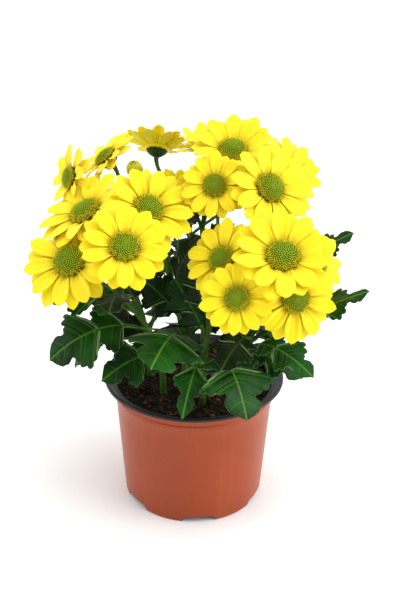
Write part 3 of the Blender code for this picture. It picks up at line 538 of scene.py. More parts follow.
def floretFinish():
    # map: ahead from 0 at a floret's foot to 1 at its tip
    # tone: the share of the disc's radius, its own shade and how yellow its tip is
    finish = Finish("discFlorets", {"Specular IOR Level": 0.15})
    rise = finish.map[1]
    share, own, ripe = finish.tone
    green = finish.mix(own, tint(92, 130, 2), tint(128, 164, 12))
    olive = finish.mix(own, tint(118, 130, 0), tint(164, 164, 8))
    colour = finish.mix(finish.step(share, 0.42, 0.95), green, olive)
    # painted shade: each floret darkened towards its foot, in the gaps between florets
    colour = finish.mix(1 - finish.step(rise, 0.1, 0.75), colour, tint(40, 50, 0))
    colour = finish.mix(finish.step(rise, 0.7, 1.0) * 0.55, colour, tint(210, 216, 60))
    colour = finish.mix(ripe, colour, tint(236, 214, 20))
    speck = finish.noise(finish.place, 1500.0, 2.0)
    colour = finish.mix(finish.step(speck, 0.6, 0.75) * 0.2, colour, tint(214, 204, 70))
    return finish.wear(colour, speck * 0.2 + 0.5, speck, 0.0001, 0.4)


def budFinish():
    finish = Finish("closedBudPetals", {"Specular IOR Level": 0.3})
    across, ahead, _ = finish.map
    own, green, _ = finish.tone
    side = abs(across)
    strands = {0: across * 6.0, 1: ahead, 2: own * 30.0}
    lines = finish.noise(finish.node("ShaderNodeCombineXYZ", None, strands), 1.8, 3.0)
    petal = finish.mix(finish.step(ahead, 0.1, 0.8), tint(92, 112, 8), tint(190, 182, 20))
    petal = finish.mix(finish.step(side, 0.45, 1.0) * 0.8, petal, tint(64, 74, 4))
    petal = finish.mix(lines * 0.2, petal, tint(220, 208, 60))
    colour = finish.mix(green, petal, tint(36, 66, 10))
    return finish.wear(colour, lines * 0.15 + 0.42, lines, 0.0002, 0.5)


potPaint = potFinish()
peatPaint = peatFinish()
greenPaint = greenFinish()
petalPaint = petalFinish()
floretPaint = floretFinish()
budPaint = budFinish()
print("materials made")


# Pot: a turned shell, then six notches in its skirt and six drain holes in its raised floor.

def arcRow(centre, radius, first, last, steps):
    angles = np.radians(np.linspace(first, last, steps))
    return [(centre[0] + radius * math.cos(a), centre[1] + radius * math.sin(a)) for a in angles]


def potProfile():
    wall, height, rim = pot["wall"], pot["height"], pot["rim"]
    lipLow = height - pot["lipDepth"]
    innerFloor = pot["floor"] + wall
    inside = [(0.0, innerFloor), (0.02, innerFloor), (potRadius(innerFloor) - wall - 0.0015, innerFloor)]
    inside += [(potRadius(innerFloor) - wall, innerFloor + 0.0015)]
    inside += [(potRadius(z) - wall, z) for z in np.linspace(0.012, pot["lipRoot"], 8)]
    lip = [(rim - 0.0034, height - 0.0009)] + arcRow((rim - 0.0015, height - 0.0009), 0.0009, 120, 60, 4)
    lip += arcRow((rim - 0.0008, height - 0.0010), 0.0008, 50, 0, 4)
    lip += arcRow((rim - 0.0005, lipLow + 0.0005), 0.0005, 0, -90, 4)
    lip += [(rim - 0.0016, lipLow - 0.0001), (potRadius(pot["lipRoot"]) + 0.0008, pot["lipRoot"] - 0.0008)]
    lip += [(potRadius(pot["lipRoot"]) + 0.0001, pot["lipRoot"] - 0.0018)]
    collar, deep, proud = pot["collar"], pot["collarDepth"], pot["collarProud"]
    band = [
        (potRadius(collar) + 0.00002, collar + 0.0006), (potRadius(collar) + proud * 0.5, collar + 0.0003),
        (potRadius(collar) + proud, collar), (potRadius(collar - deep) + proud, collar - deep),
        (potRadius(collar - deep) + proud * 0.4, collar - deep - 0.0003),
        (potRadius(collar - deep), collar - deep - 0.0006),
    ]
    outside = [(potRadius(z), z) for z in np.linspace(0.066, 0.004, 12)]
    foot = pot["base"] - pot["foot"]
    skirt = [(pot["base"], 0.0008), (pot["base"] - 0.0003, 0.0002), (pot["base"] - 0.0008, 0.0)]
    skirt += [(foot + 0.0003, 0.0), (foot, 0.0003)]
    skirt += [(foot, pot["floor"] - 0.0008), (foot - 0.0008, pot["floor"])]
    return inside + lip + band + outside + skirt + [(0.02, pot["floor"]), (0.0, pot["floor"])]


def solidOf(bm, name):
    mesh = bpy.data.meshes.new(name)
    bm.to_mesh(mesh)
    bm.free()
    return placed(name, mesh)


def notchSolid(index):
    bm = bmesh.new()
    bmesh.ops.create_cube(bm, size=1.0)
    for vertex in bm.verts:
        low = vertex.co.z < 0
        width = 2 * pot["notchBottom"] - pot["notchTop"] if low else pot["notchTop"]
        vertex.co.x = pot["base"] + pot["notchReach"] * vertex.co.x
        vertex.co.y *= width
        vertex.co.z = -pot["notchHeight"] if low else pot["notchHeight"]
    upper = [
        edge for edge in bm.edges if abs(edge.verts[0].co.x - edge.verts[1].co.x) > 0.001
        and min(vertex.co.z for vertex in edge.verts) > 0
    ]
    bmesh.ops.bevel(bm, geom=upper, offset=pot["notchBevel"], segments=3, affect="EDGES", profile=0.5)
    turn = math.radians(pot["firstNotch"] + index * 360 / pot["notches"])
    bmesh.ops.rotate(bm, verts=bm.verts, cent=(0, 0, 0), matrix=Matrix.Rotation(turn, 3, "Z"))
    return solidOf(bm, f"notchCutter{index}")


def drainSolid(index):
    turn = math.radians(pot["firstNotch"] + (index + 0.5) * 360 / pot["notches"])
    spot = (pot["drainCircle"] * math.cos(turn), pot["drainCircle"] * math.sin(turn), pot["floor"])
    bm = bmesh.new()
    bmesh.ops.create_cone(
        bm, cap_ends=True, segments=24, radius1=pot["drain"], radius2=pot["drain"],
        depth=6 * pot["wall"], matrix=Matrix.Translation(spot),
    )
    return solidOf(bm, f"drainCutter{index}")


def makePot():
    profile = potProfile()
    mesh = bpy.data.meshes.new("potTurning")
    mesh.from_pydata([(r, 0, z) for r, z in profile], [(i, i + 1) for i in range(len(profile) - 1)], [])
    shell = placed("potTurning", mesh)
    turn = shell.modifiers.new("turn", "SCREW")
    turn.steps = turn.render_steps = pot["sides"]
    turn.use_merge_vertices = True
    turn.merge_threshold = 0.00002
    cutters = [make(index) for index in range(pot["notches"]) for make in (notchSolid, drainSolid)]
    for cutter in cutters:
        cut = shell.modifiers.new("cut", "BOOLEAN")
        cut.operation, cut.solver, cut.object = "DIFFERENCE", "EXACT", cutter
    bpy.context.view_layer.update()
    made = bpy.data.meshes.new_from_object(shell.evaluated_get(bpy.context.evaluated_depsgraph_get()))
    for item in (shell, *cutters):
        bpy.data.objects.remove(item)
    bm = bmesh.new()
    bm.from_mesh(made)
    bmesh.ops.remove_doubles(bm, verts=bm.verts, dist=0.000005)
    bmesh.ops.recalc_face_normals(bm, faces=bm.faces)
    bm.to_mesh(made)
    bm.free()
    made.materials.clear()
    made.shade_smooth()
    made.set_sharp_from_angle(angle=math.radians(32))
    ownPiece("potShell", made, potPaint, "pot")


makePot()
print("pot turned and notched")


# Peat: a lumpy mound with crumbs and fibres lying on it.

peat = {
    "edgeHeight": 0.0805, "heap": 0.0022, "heapSide": 160, "lumps": 0.35, "sides": 128, "rings": 34,
    "crumbs": 1000, "crumbSize": (0.0005, 0.0017), "fibres": 210, "fibreLength": (0.004, 0.014), "seed": 5,
}


def peatHeight(x, y):
    edge = potRadius(peat["edgeHeight"]) - pot["wall"]
    share, angle = math.hypot(x, y) / edge, math.atan2(y, x)
    heap = 0.55 + 0.45 * math.cos(angle - math.radians(peat["heapSide"]))
    lumps = 0.5 * math.sin(3 * angle + 9 * share) + 0.5 * math.sin(7 * angle - 5 * share)
    height = peat["heap"] * (heap * (1 - 0.6 * share * share) + peat["lumps"] * lumps * share)
    spot = Vector((x, y, 0))
    rough = noise.noise(spot * 160) * 0.0009 + noise.noise(spot * 420) * 0.0005
    return peat["edgeHeight"] + height + rough * (1 - max(0.0, share - 0.9) * 6)


def ball(subdivisions):
    bm = bmesh.new()
    bmesh.ops.create_icosphere(bm, subdivisions=subdivisions, radius=1.0)
    points = np.array([vertex.co[:] for vertex in bm.verts])
    faces = np.array([[vertex.index for vertex in face.verts] for face in bm.faces])
    bm.free()
    return points, faces


def makePeat():
    shape, chance = Shape(), random.Random(peat["seed"])
    bottom = pot["floor"] + pot["wall"] + growth["gap"]
    topRadius = potRadius(peat["edgeHeight"]) - pot["wall"] - 0.0006
    lowRadius = potRadius(bottom) - pot["wall"] - 0.0006
    turns = np.linspace(0, 2 * math.pi, peat["sides"], endpoint=False)
    rows = [
        [(lowRadius * share * math.cos(a), lowRadius * share * math.sin(a), bottom) for a in turns]
        for share in (0.02, 1.0)
    ]
    for ring in range(peat["rings"]):
        radius = topRadius * (1 - ring / (peat["rings"] - 0.7))
        rows.append([(radius * math.cos(a), radius * math.sin(a), 0) for a in turns])
    points = np.array(rows)
    for row in points[2:]:
        for point in row:
            point[2] = peatHeight(point[0], point[1])
    count = points.shape[0] * points.shape[1]
    middle = [[0, 0, bottom], [0, 0, peatHeight(0, 0)]]
    faces = [gridFaces(len(rows), peat["sides"], True), *ringCaps(count, peat["sides"])]
    shape.add(np.concatenate([points.reshape(-1, 3), middle]), faces)
    lump, lumpFaces = ball(2)
    for _ in range(peat["crumbs"]):
        radius = topRadius * 0.985 * math.sqrt(chance.random())
        angle = chance.uniform(0, 2 * math.pi)
        x, y = radius * math.cos(angle), radius * math.sin(angle)
        size = chance.uniform(*peat["crumbSize"]) * (0.5 + 0.9 * chance.random() ** 3)
        stretch = np.array([chance.uniform(0.6, 1.4), chance.uniform(0.6, 1.4), chance.uniform(0.5, 1.0)])
        offset = Vector((chance.uniform(0, 90), 0, 0))
        rough = np.array([1 + 0.55 * noise.noise(Vector(point) * 1.7 + offset) for point in lump])
        turned = chance.uniform(0, 6.3)
        turn = np.array(Matrix.Rotation(turned, 3, Vector((chance.random(), chance.random(), 1))))
        points = (lump * rough[:, None] * stretch * size) @ turn.T
        points += np.array([x, y, peatHeight(x, y) + 0.25 * size])
        shape.add(points, [lumpFaces], tone=(0.55 * (chance.random() < 0.10), chance.uniform(0, 1), 0))
    for _ in range(peat["fibres"]):
        radius = topRadius * 0.93 * math.sqrt(chance.random())
        angle, heading = chance.uniform(0, 2 * math.pi), chance.uniform(0, 2 * math.pi)
        spot = np.array([radius * math.cos(angle), radius * math.sin(angle)])
        length, path = chance.uniform(*peat["fibreLength"]), []
        for step in range(7):
            inward = min(1.0, topRadius * 0.97 / max(np.linalg.norm(spot), 1e-6))
            spot = spot * inward
            lift = 0.0007 + 0.0008 * math.sin(step * 0.5 + angle)
            path.append((*spot, peatHeight(*spot) + lift))
            heading += chance.uniform(-0.5, 0.5)
            spot = spot + length / 6 * np.array([math.cos(heading), math.sin(heading)])
        thick = chance.uniform(0.00010, 0.00028)
        radii = [thick * (1 - 0.6 * abs(step / 3 - 1)) for step in range(7)]
        addTube(shape, path, radii, 4, (chance.uniform(0.5, 1), chance.random(), 0))
    shape.build("pottingPeat", peatPaint, "soil", "soil")


makePeat()
print("peat filled")


# What the solids show: where each petal and leaf tip ended up after it was bent clear of its neighbours.

def cornersOf(node):
    points = sorted({tuple(round(c, 6) for c in vertex.co) for vertex in nodes[node].data.vertices})
    tree = KDTree(len(points))
    for order, point in enumerate(points):
        tree.insert(point, order)
    tree.balance()
    return tree


def isCorner(tree, *points):
    return all(tree.find(point)[2] < 0.00008 for point in points)


# Petals: ridged blades in two whorls round a thin ring.

petalPlan = {  # as in the solids
    "steps": ((0.38, 7), (0.42, 0), (0.20, -9)), "tipHalf": 0.25, "droop": 9,
    "lengths": (0.93, 1.05), "widths": (0.29, 0.335), "pitchSpread": 3, "pitchLimit": 64,
    "bends": (0, -5, 5, -10, 10, -16, 16, -23, 23, -31, 31, -40, 40, 50), "shares": (1.0, 0.86, 0.7, 0.52),
}
petalLook = {
    "rows": 15, "columns": 11, "thickness": 0.00032, "overlap": 1.17, "rootInset": 0.0012,
    "ridge": 0.00022, "tipDrop": 0.17, "notch": 0.022, "widest": 0.58, "rootWidth": 0.40, "seed": 31,
    "shingle": 7, "swing": 3.5, "arch": 17,
}


def petalTip(spot, out, axis, side, length, width, pitch):
    for share, arch in petalPlan["steps"]:
        angle = math.radians(pitch + arch)
        spot = spot + (out * math.cos(angle) + axis * math.sin(angle)) * share * length
    reach = side * (petalPlan["tipHalf"] * width)
    return spot - reach, spot + reach


def grownPetals(letter, chance):
    # the seeded draws of the solids, with the bend that each petal was given
    spot, (yaw, up), radius, count, cup = blooms[letter]
    spot, axis = Vector(spot), facing(yaw, up)
    side = Vector((0, 0, 1)).cross(axis).normalized()
    over = axis.cross(side)
    root = rootRadius(radius)
    sector = math.pi / count
    tree = cornersOf(f"bloom_{letter}_petals")
    found = []

    def ringPoint(index, depth, shift):
        turn = 2 * index * sector + shift
        return spot - axis * depth + (side * math.cos(turn) + over * math.sin(turn)) * root

    for whorl, droop in ((0, 0.0), (1, petalPlan["droop"])):
        depth = growth["tier"] + whorl * (growth["tier"] + growth["band"])
        shift = whorl * sector
        for index in range(count):
            one, two = ringPoint(index, depth, shift), ringPoint(index + 1, depth, shift)
            middle = (one + two) / 2
            out = middle - spot
            out = (out - axis * out.dot(axis)).normalized()
            length = (radius - root) * chance.uniform(*petalPlan["lengths"])
            width = radius * chance.uniform(*petalPlan["widths"])
            across = (two - one).normalized()
            pitch = cup - droop + chance.uniform(-petalPlan["pitchSpread"], petalPlan["pitchSpread"])
            for share in petalPlan["shares"]:
                reach = length * share
                fits = [
                    bend for bend in petalPlan["bends"] if abs(pitch + bend) <= petalPlan["pitchLimit"]
                    and isCorner(tree, *petalTip(middle, out, axis, across, reach, width, pitch + bend))
                ]
                if fits:
                    found.append((middle, out, axis, across, reach, width, pitch + fits[0]))
                    break
    return found


def petalWidth(ahead):
    rise = np.sin(np.clip(ahead / petalLook["widest"], 0, 1) * math.pi / 2) ** 1.2
    fall = np.clip((ahead - petalLook["widest"]) / (1 - petalLook["widest"]), 0, 1)
    root = petalLook["rootWidth"]
    return (root + (1 - root) * rise) * (1 - 0.52 * fall ** 2.1)


def addPetal(shape, petal, chance):
    middle, out, axis, across, length, width, pitch = petal
    swing = Matrix.Rotation(math.radians(chance.uniform(-1, 1) * petalLook["swing"]), 3, axis)
    out, axis, across = (np.array(v) for v in (swing @ out, axis, swing @ across))
    pitch += chance.uniform(-2.5, 2.5)
    length *= chance.uniform(0.95, 1.06)
    t, u = sheetPlaces(petalLook["rows"], petalLook["columns"])
    inset, arch = petalLook["rootInset"], petalLook["arch"]
    reach = length + inset
    notch = petalLook["notch"] * chance.uniform(0.4, 1.2)
    scallop = 0.5 - 0.5 * np.cos(3 * math.pi * u + chance.uniform(-0.5, 0.5))
    tip = petalLook["tipDrop"] * np.abs(u) ** 2.3 + notch * scallop
    far = t - tip * t ** 4
    curl = chance.uniform(-9, 12)

    def pitchAt(share):
        return np.radians(pitch + arch / 2 - arch * share - curl * share ** 2)

    angles = pitchAt(t)
    # the centre line, summed along its bending direction
    fine = np.linspace(0, 1, 61)
    bend = pitchAt(fine)
    steps = (np.outer(np.cos(bend), out) + np.outer(np.sin(bend), axis)) * reach / 60
    line = np.concatenate([[np.zeros(3)], np.cumsum((steps[1:] + steps[:-1]) / 2, axis=0)])
    spot = np.stack([np.interp(far, fine, line[:, i]) for i in range(3)], -1)
    start = np.array(middle) - out * inset + axis * growth["tier"] * 0.45
    up = axis * np.cos(angles)[..., None] - out * np.sin(angles)[..., None]
    twist = math.radians(petalLook["shingle"] + chance.uniform(-8, 8)) * t
    half = width / 2 * petalLook["overlap"] * petalWidth(far)
    ripple = chance.uniform(0.0001, 0.0005) * np.sin(t * chance.uniform(5, 9) + chance.uniform(0, 6) + u)
    channel = 0.75 * (1 - t) ** 2 + chance.uniform(-0.10, 0.26) * t
    ridges = petalLook["ridge"] * np.cos(3 * math.pi * u)
    lift = half * u ** 2 * channel + ridges * np.sin(math.pi * np.clip(t, 0.02, 0.98)) ** 0.6
    lift = lift + ripple * u ** 2 * t
    sway = chance.uniform(-0.05, 0.05) * reach * t ** 2
    sideways = half * u * np.cos(twist) + sway
    lift = lift + half * u * np.sin(twist)
    top = start + spot + sideways[..., None] * across + lift[..., None] * up
    thickness = petalLook["thickness"] * (1 - 0.55 * u ** 2)
    addBlade(shape, top, thickness, u, t, (chance.random(), 0, 0))


def makeBloomPetals():
    chance, looks = random.Random(growth["seed"]), random.Random(petalLook["seed"])
    total = 0
    for letter in blooms:
        shape = Shape()
        petals = grownPetals(letter, chance)
        for petal in petals:
            addPetal(shape, petal, looks)
        total += len(petals)
        spot, (yaw, up), radius = blooms[letter][:3]
        root, deep = rootRadius(radius), ringDepth
        profile = [
            (0.0001, -deep), (root * 0.9, -deep), (root * 0.99, -deep * 0.7),
            (root, -deep * 0.3), (root * 0.96, 0), (0.0001, 0),
        ]
        addLathe(shape, profile, 40, (0.3, 0, 0), turnTo(facing(yaw, up), Vector(spot)))
        shape.build(f"petals_{letter}", petalPaint, "petal", f"bloom_{letter}_petals")
    print("petals found:", total)
    return chance


growChance = makeBloomPetals()


# Discs: florets in a golden-angle spiral over a dome, closed in the middle and open at the edge.

discLook = {
    "dome": 0.42, "wall": 0.0012, "florets": 250, "open": 0.78, "openShare": 0.72, "openSides": 8,
    "closedSides": 5, "seed": 8,
}


def floretForm(openFloret):
    sides = discLook["openSides" if openFloret else "closedSides"]
    turns = np.linspace(0, 2 * math.pi, sides, endpoint=False)
    if openFloret:
        star = np.where(np.arange(sides) % 2, 0.36, 0.68)
        rings = (
            (0.36 + 0 * star, -0.5, 0.0), (0.38 + 0 * star, 0.25, 0.4), (star, 0.48, 0.9),
            (0.20 + 0 * star, 0.36, 0.5), (0.17 + 0 * star, 0.85, 0.8),
        )
        tip = 1.0
    else:
        even = np.ones(sides)
        rings = ((0.50 * even, -0.5, 0.0), (0.54 * even, 0.05, 0.45), (0.40 * even, 0.42, 0.8))
        tip = 0.62
    points = [np.stack([r * np.cos(turns), r * np.sin(turns), np.full(sides, z)], -1) for r, z, _ in rings]
    rise = [np.full(sides, value) for _, _, value in rings] + [[1.0]]
    count = len(rings) * sides
    last = np.arange(sides) + count - sides
    cap = np.stack([last, np.roll(last, -1), np.full(sides, count)], -1)
    points = np.concatenate([*points, [[0, 0, tip]]])
    return points, [gridFaces(len(rings), sides, True), cap], np.concatenate(rise)


def makeDiscs():
    forms = {state: floretForm(state) for state in (False, True)}
    chance = random.Random(discLook["seed"])
    for letter, bloom in blooms.items():
        spot, (yaw, up), radius = bloom[:3]
        matrix = turnTo(facing(yaw, up), Vector(spot) + facing(yaw, up) * growth["gap"])
        disc = radius * growth["discShare"]
        dome, wall = discLook["dome"] * disc, discLook["wall"]
        shape = Shape()
        shares = np.linspace(1, 0.02, 12)
        profile = [(0.0001, 0), (disc * 0.97, 0), (disc * 0.99, wall * 0.6)]
        profile += [(disc * 0.97 * s, wall + dome * (1 - s * s) - 0.0002) for s in shares]
        addLathe(shape, profile, 32, (0.8, 0, 0), matrix)
        ripeFrom = discLook["open"] + chance.uniform(-0.16, 0.10)
        firstTurn = chance.uniform(0, 6)
        for order in range(discLook["florets"]):
            share = math.sqrt((order + 0.5) / discLook["florets"])
            turn = order * growth["golden"] + firstTurn
            side, slope = share * disc * 0.965, 2 * dome * share / disc
            height = wall + dome * (1 - share * share)
            centre = np.array([side * math.cos(turn), side * math.sin(turn), height])
            lean = Vector((slope * math.cos(turn), slope * math.sin(turn), 1))
            state = share > ripeFrom and chance.random() < discLook["openShare"]
            points, faces, rise = forms[state]
            spacing = disc * math.sqrt(math.pi / discLook["florets"])
            size = spacing * (0.92 + 0.16 * chance.random()) * (1.12 if state else 0.98)
            turned = np.array(lean.to_track_quat("Z", "Y").to_matrix())
            stood = (points * size * np.array([1, 1, 0.9 + 0.5 * share])) @ turned.T + centre
            maps = np.stack([0 * rise, rise, 0 * rise], -1)
            ripe = 0.75 * (rise > 0.75) if state else 0.25 * (rise > 0.9) * (share > 0.5)
            even = np.ones(len(rise))
            tones = np.stack([share * even, chance.random() * even, ripe * even], -1)
            shape.add(stood, faces, maps, tones, matrix)
        shape.build(f"disc_{letter}", floretPaint, "floret", f"bloom_{letter}_disc")


makeDiscs()
print("disc florets set")


# Stems: a ridged tube, a stalk to each bloom, a bracted cup under each bloom and the leaves.

stemLook = {
    "sides": 12, "steps": 26, "stalkSides": 10, "stalkSteps": 18, "bractRows": 3, "bracts": 12,
    "bractThickness": 0.00022, "seed": 3,
}


def stemRoute(name, steps):
    foot, fork, _ = stems[name]
    low = Vector((*foot, growth["holeFloor"] + growth["gap"]))
    top = Vector((*foot, pot["height"]))
    pull = Vector((*foot, pot["height"] + 0.5 * (fork[2] - pot["height"])))
    return [low] + bezierRow([top, pull, Vector(fork)], steps)


def cupSpots(name):
    # where each bloom of a stem points, the radius that its cup is made for and where the cup's foot is
    for bloom in stems[name][2]:
        spot, (yaw, up), size = closedBud if bloom == "bud" else blooms[bloom][:3]
        axis = facing(yaw, up)
        disc = size * growth["budCalyx" if bloom == "bud" else "discShare"]
        top = Vector(spot) - axis * ((size if bloom == "bud" else ringDepth) + growth["gap"])
        yield axis, disc, top - axis * growth["calyx"]


def cupRadius(share, disc):
    return disc * 0.16 + disc * 0.68 * np.sin(np.clip(share, 0, 1.2) * math.pi / 2.4) ** 0.75


def addCup(shape, disc, matrix, chance):
    height = growth["calyx"]
    rising = [(cupRadius(share, disc), share * height) for share in np.linspace(0, 1, 9)]
    profile = [(0.0002, 0.0), *rising, (0.0002, height)]
    addLathe(shape, profile, 28, (1.0, 0.3, 0), matrix)
    for row in range(stemLook["bractRows"]):
        first, last = ((0.02, 0.62), (0.22, 0.92), (0.45, 1.22))[row]
        for index in range(stemLook["bracts"]):
            turn = 2 * math.pi * (index + 0.5 * (row % 2) + chance.uniform(-0.1, 0.1)) / stemLook["bracts"]
            t, u = sheetPlaces(6, 5)
            share = first + (last * chance.uniform(0.95, 1.03) - first) * (t - 0.10 * u ** 2 * t)
            radius = cupRadius(share, disc) + 0.00014 + 0.00030 * t * (row + 1) * 0.6 - 0.0002 * u ** 2
            shapeHalf = 0.17 + 0.16 * np.sin(math.pi * np.clip(t * 0.85 + 0.1, 0, 1))
            around = turn + u * shapeHalf * (1 - 0.85 * np.clip((t - 0.6) / 0.4, 0, 1) ** 2)
            top = np.stack([radius * np.cos(around), radius * np.sin(around), share * height], -1)
            thickness = stemLook["bractThickness"] * (1 - 0.5 * u ** 2)
            addBlade(shape, top, thickness, u, t, (1.0, chance.random(), 0.002), matrix)


leafLook = {
    "frontGrid": (96, 15), "innerGrid": (64, 11), "stalkRows": 8,
    "stalkHalf": 0.0011, "stalkDepth": 0.0017, "thickness": 0.00045, "ribDepth": 0.0009,
    "lag": 0.24, "tooth": 0.050, "teeth": 14, "droop": 0.16, "quilt": 0.00032, "ruffle": 0.0016,
    # own tone ranges: random and high on the front leaves, low on the inner leaves and fillers as painted
    # shade for the dark inside of the plant
    "frontShades": (0.55, 1.0), "innerShades": (0.0, 0.45),
    "arches": (0.0, 0.005, -0.005, 0.010), "rolls": (0, 12, -12, 24, -24, 38, -38),
}
leafBends = [(roll, arch) for arch in leafLook["arches"] for roll in leafLook["rolls"]]


def leafFrame(start, tip, arch, roll):
    chord = (tip - start).normalized()
    rolled = Matrix.Rotation(math.radians(roll), 3, chord) @ Vector((0, 0, 1))
    side = chord.cross(rolled).normalized()
    normal = side.cross(chord)
    return side, normal, start.lerp(tip, 0.5) + normal * 2 * arch


def leafCorners(lobes, start, tip, arch, width, roll, stalk):
    # the points of the widest lobe on both sides, as in the solids
    side, normal, middle = leafFrame(start, tip, arch, roll)
    share, half = max((point for lobe in lobes for point in lobe), key=lambda point: point[1])
    spot = bezier([start, middle, tip], stalk + share * (1 - stalk))
    return [spot + (side * half * width / 2 + normal * growth["lobeWave"] * width) * sign for sign in (-1, 1)]


def bentLeaf(tree, lobes, start, tip, arch, width, roll, stalk, bends):
    for rollChange, archChange in bends:
        leaf = (start, tip, arch + archChange, width, roll + rollChange, stalk)
        if isCorner(tree, *leafCorners(lobes, *leaf)):
            return leaf
    return None


def leafMargin(lobes, rows, ratio, chance):
    # one side's edge from stalk to tip, in shares of the blade's length and half width, evenly spaced
    row = np.array([(0.0, 0.05), *[point for lobe in lobes for point in lobe], (1.0, 0.0)])
    for _ in range(3):
        early, late = row[:-1] * 0.78 + row[1:] * 0.22, row[:-1] * 0.22 + row[1:] * 0.78
        row = np.concatenate([row[:1], np.stack([early, late], 1).reshape(-1, 2), row[-1:]])
    scale = np.array([1.0, ratio])
    far = np.concatenate([[0], np.cumsum(np.linalg.norm(np.diff(row * scale, axis=0), axis=1))])
    share = np.linspace(0, 1, rows)
    edge = np.stack([np.interp(share * far[-1], far, row[:, i]) for i in (0, 1)], -1)
    ahead = unit(np.gradient(edge * scale, axis=0))
    out = np.stack([-ahead[:, 1], ahead[:, 0]], -1)
    teeth = leafLook["teeth"]
    tooth = np.abs(np.sin(math.pi * (share * teeth + chance.uniform(-0.2, 0.2)))) ** 0.7 - 0.55
    strength = leafLook["tooth"] * np.clip(edge[:, 1] * 3 - 0.9, 0, 1) * np.clip(share * 12, 0, 1)
    return share, edge + out / scale * (tooth * strength)[:, None]


def addLeaf(shape, lobes, leaf, chance):
    start, tip, arch, width, roll, stalk = leaf
    kind = "front" if lobes is frontLobes else "inner"
    rows, columns = leafLook[kind + "Grid"]
    side, normal, middle = leafFrame(start, tip, arch, roll)
    side, normal = np.array(side), np.array(normal)
    ends = [np.array(point) for point in (start, middle, tip)]
    length = (tip - start).length * (1 - stalk)
    share, left = leafMargin(lobes, rows, width / 2 / length, chance)
    right = leafMargin(lobes, rows, width / 2 / length, chance)[1]
    u = np.linspace(-1, 1, columns)
    edge = np.abs(u)[None, :]
    reach = np.where(u < 0, left[:, :1], right[:, :1])
    halves = np.where(u < 0, left[:, 1:], right[:, 1:])
    middleEdge = (left + right) / 2
    spine = middleEdge[:, 0] - leafLook["lag"] * middleEdge[:, 1]
    spine = np.maximum.accumulate(np.clip(spine, 0, 1)) * 0.97 + 0.03 * share
    place = spine[:, None] + (reach - spine[:, None]) * edge ** 1.15
    half = np.maximum(halves * width / 2, 0.0003)
    stem = np.linspace(-stalk / (1 - stalk), 0, leafLook["stalkRows"])[:-1, None] + 0 * u
    count = len(stem)
    inBlade = np.concatenate([np.zeros(count), np.clip(share * 25, 0, 1)])[:, None]
    place = np.concatenate([stem, place])
    half = np.maximum(half, leafLook["stalkHalf"] * (1 - share * 14)[:, None])
    half = np.concatenate([stem * 0 + leafLook["stalkHalf"], half])
    mapped = np.concatenate([stem, share[:, None] + 0 * u])
    s = (stalk + place * (1 - stalk))[..., None]
    along = (1 - s) ** 2 * ends[0] + 2 * s * (1 - s) * ends[1] + s * s * ends[2]
    wide = np.clip(half / 0.006, 0, 1) * inBlade
    gap = np.min([np.abs(mapped - vein) + (1 - strong) * 0.02 for vein, strong in leafVeins], axis=0)
    quilt = leafLook["quilt"] * (1 - np.exp(-(gap / 0.022) ** 2)) * wide * (1 - 0.5 * edge ** 3)
    groove = 0.0004 * np.exp(-(edge * half / 0.0010) ** 2)
    wave = growth["lobeWave"] * width * u * wide * 0.8
    ruffle = chance.uniform(0.4, 1.0) * leafLook["ruffle"]
    ruffle = ruffle * np.sin(mapped * 15 + chance.uniform(0, 6) + 2 * u) * edge ** 2 * wide
    bow = -leafLook["droop"] * chance.uniform(0.2, 1.2) * half * edge ** 1.8 * wide
    lift = 0.0003 + quilt - groove + wave + ruffle + bow
    top = along + (u * half)[..., None] * side + lift[..., None] * normal
    rib = leafLook["ribDepth"] * (1 - 0.75 * np.clip(place, 0, 1)) * np.exp(-(edge * half / 0.0007) ** 2)
    rounded = leafLook["stalkDepth"] * np.sqrt(np.clip(1 - u ** 2, 0, 1)) * (1 - inBlade)
    thickness = (leafLook["thickness"] * (1 - 0.5 * u ** 2) + rib) * inBlade + rounded + 0.00008
    # own tone drawn from these ranges; the low inner range is painted shade
    own = chance.uniform(*leafLook[kind + "Shades"])
    tone = np.stack([0 * half + 0.5 * (1 - inBlade), 0 * half + own, half], -1).reshape(-1, 3)
    addBlade(shape, top, thickness, np.broadcast_to(u, half.shape), mapped, np.concatenate([tone, tone]))


def pointAtHeight(route, height):
    for low, high in zip(route, route[1:]):
        if low.z <= height <= high.z:
            return low.lerp(high, (height - low.z) / (high.z - low.z))
    return route[-1]


def addStem(shape, name, chance):
    route = stemRoute(name, stemLook["steps"])
    radii = [growth["stemRadius"] * (1.06 - 0.22 * step / len(route)) for step in range(len(route))]
    addTube(shape, route, radii, stemLook["sides"], (0.5, 0.4, 0))
    coarse = stemRoute(name, growth["stemSteps"])
    fork, below = coarse[-1], coarse[-2]
    rise = (fork - below).normalized()
    for axis, disc, low in cupSpots(name):
        reach = (low - fork).length
        start = below.lerp(fork, growth["fork"])
        pull = [fork + rise * growth["pull"] * reach, low - axis * growth["pull"] * reach]
        steps = stemLook["stalkSteps"]
        path = bezierRow([start, *pull, low + axis * growth["calyxSink"] * growth["calyx"]], steps)
        flare = [
            growth["stalkRadius"] * (1.12 - 0.2 * math.sin(math.pi * s / steps) + 4 * max(0, s / steps - 0.9))
            for s in range(steps + 1)
        ]
        addTube(shape, path, flare, stemLook["stalkSides"], (0.5, 0.6, 0))
        addCup(shape, disc, turnTo(axis, low), chance)


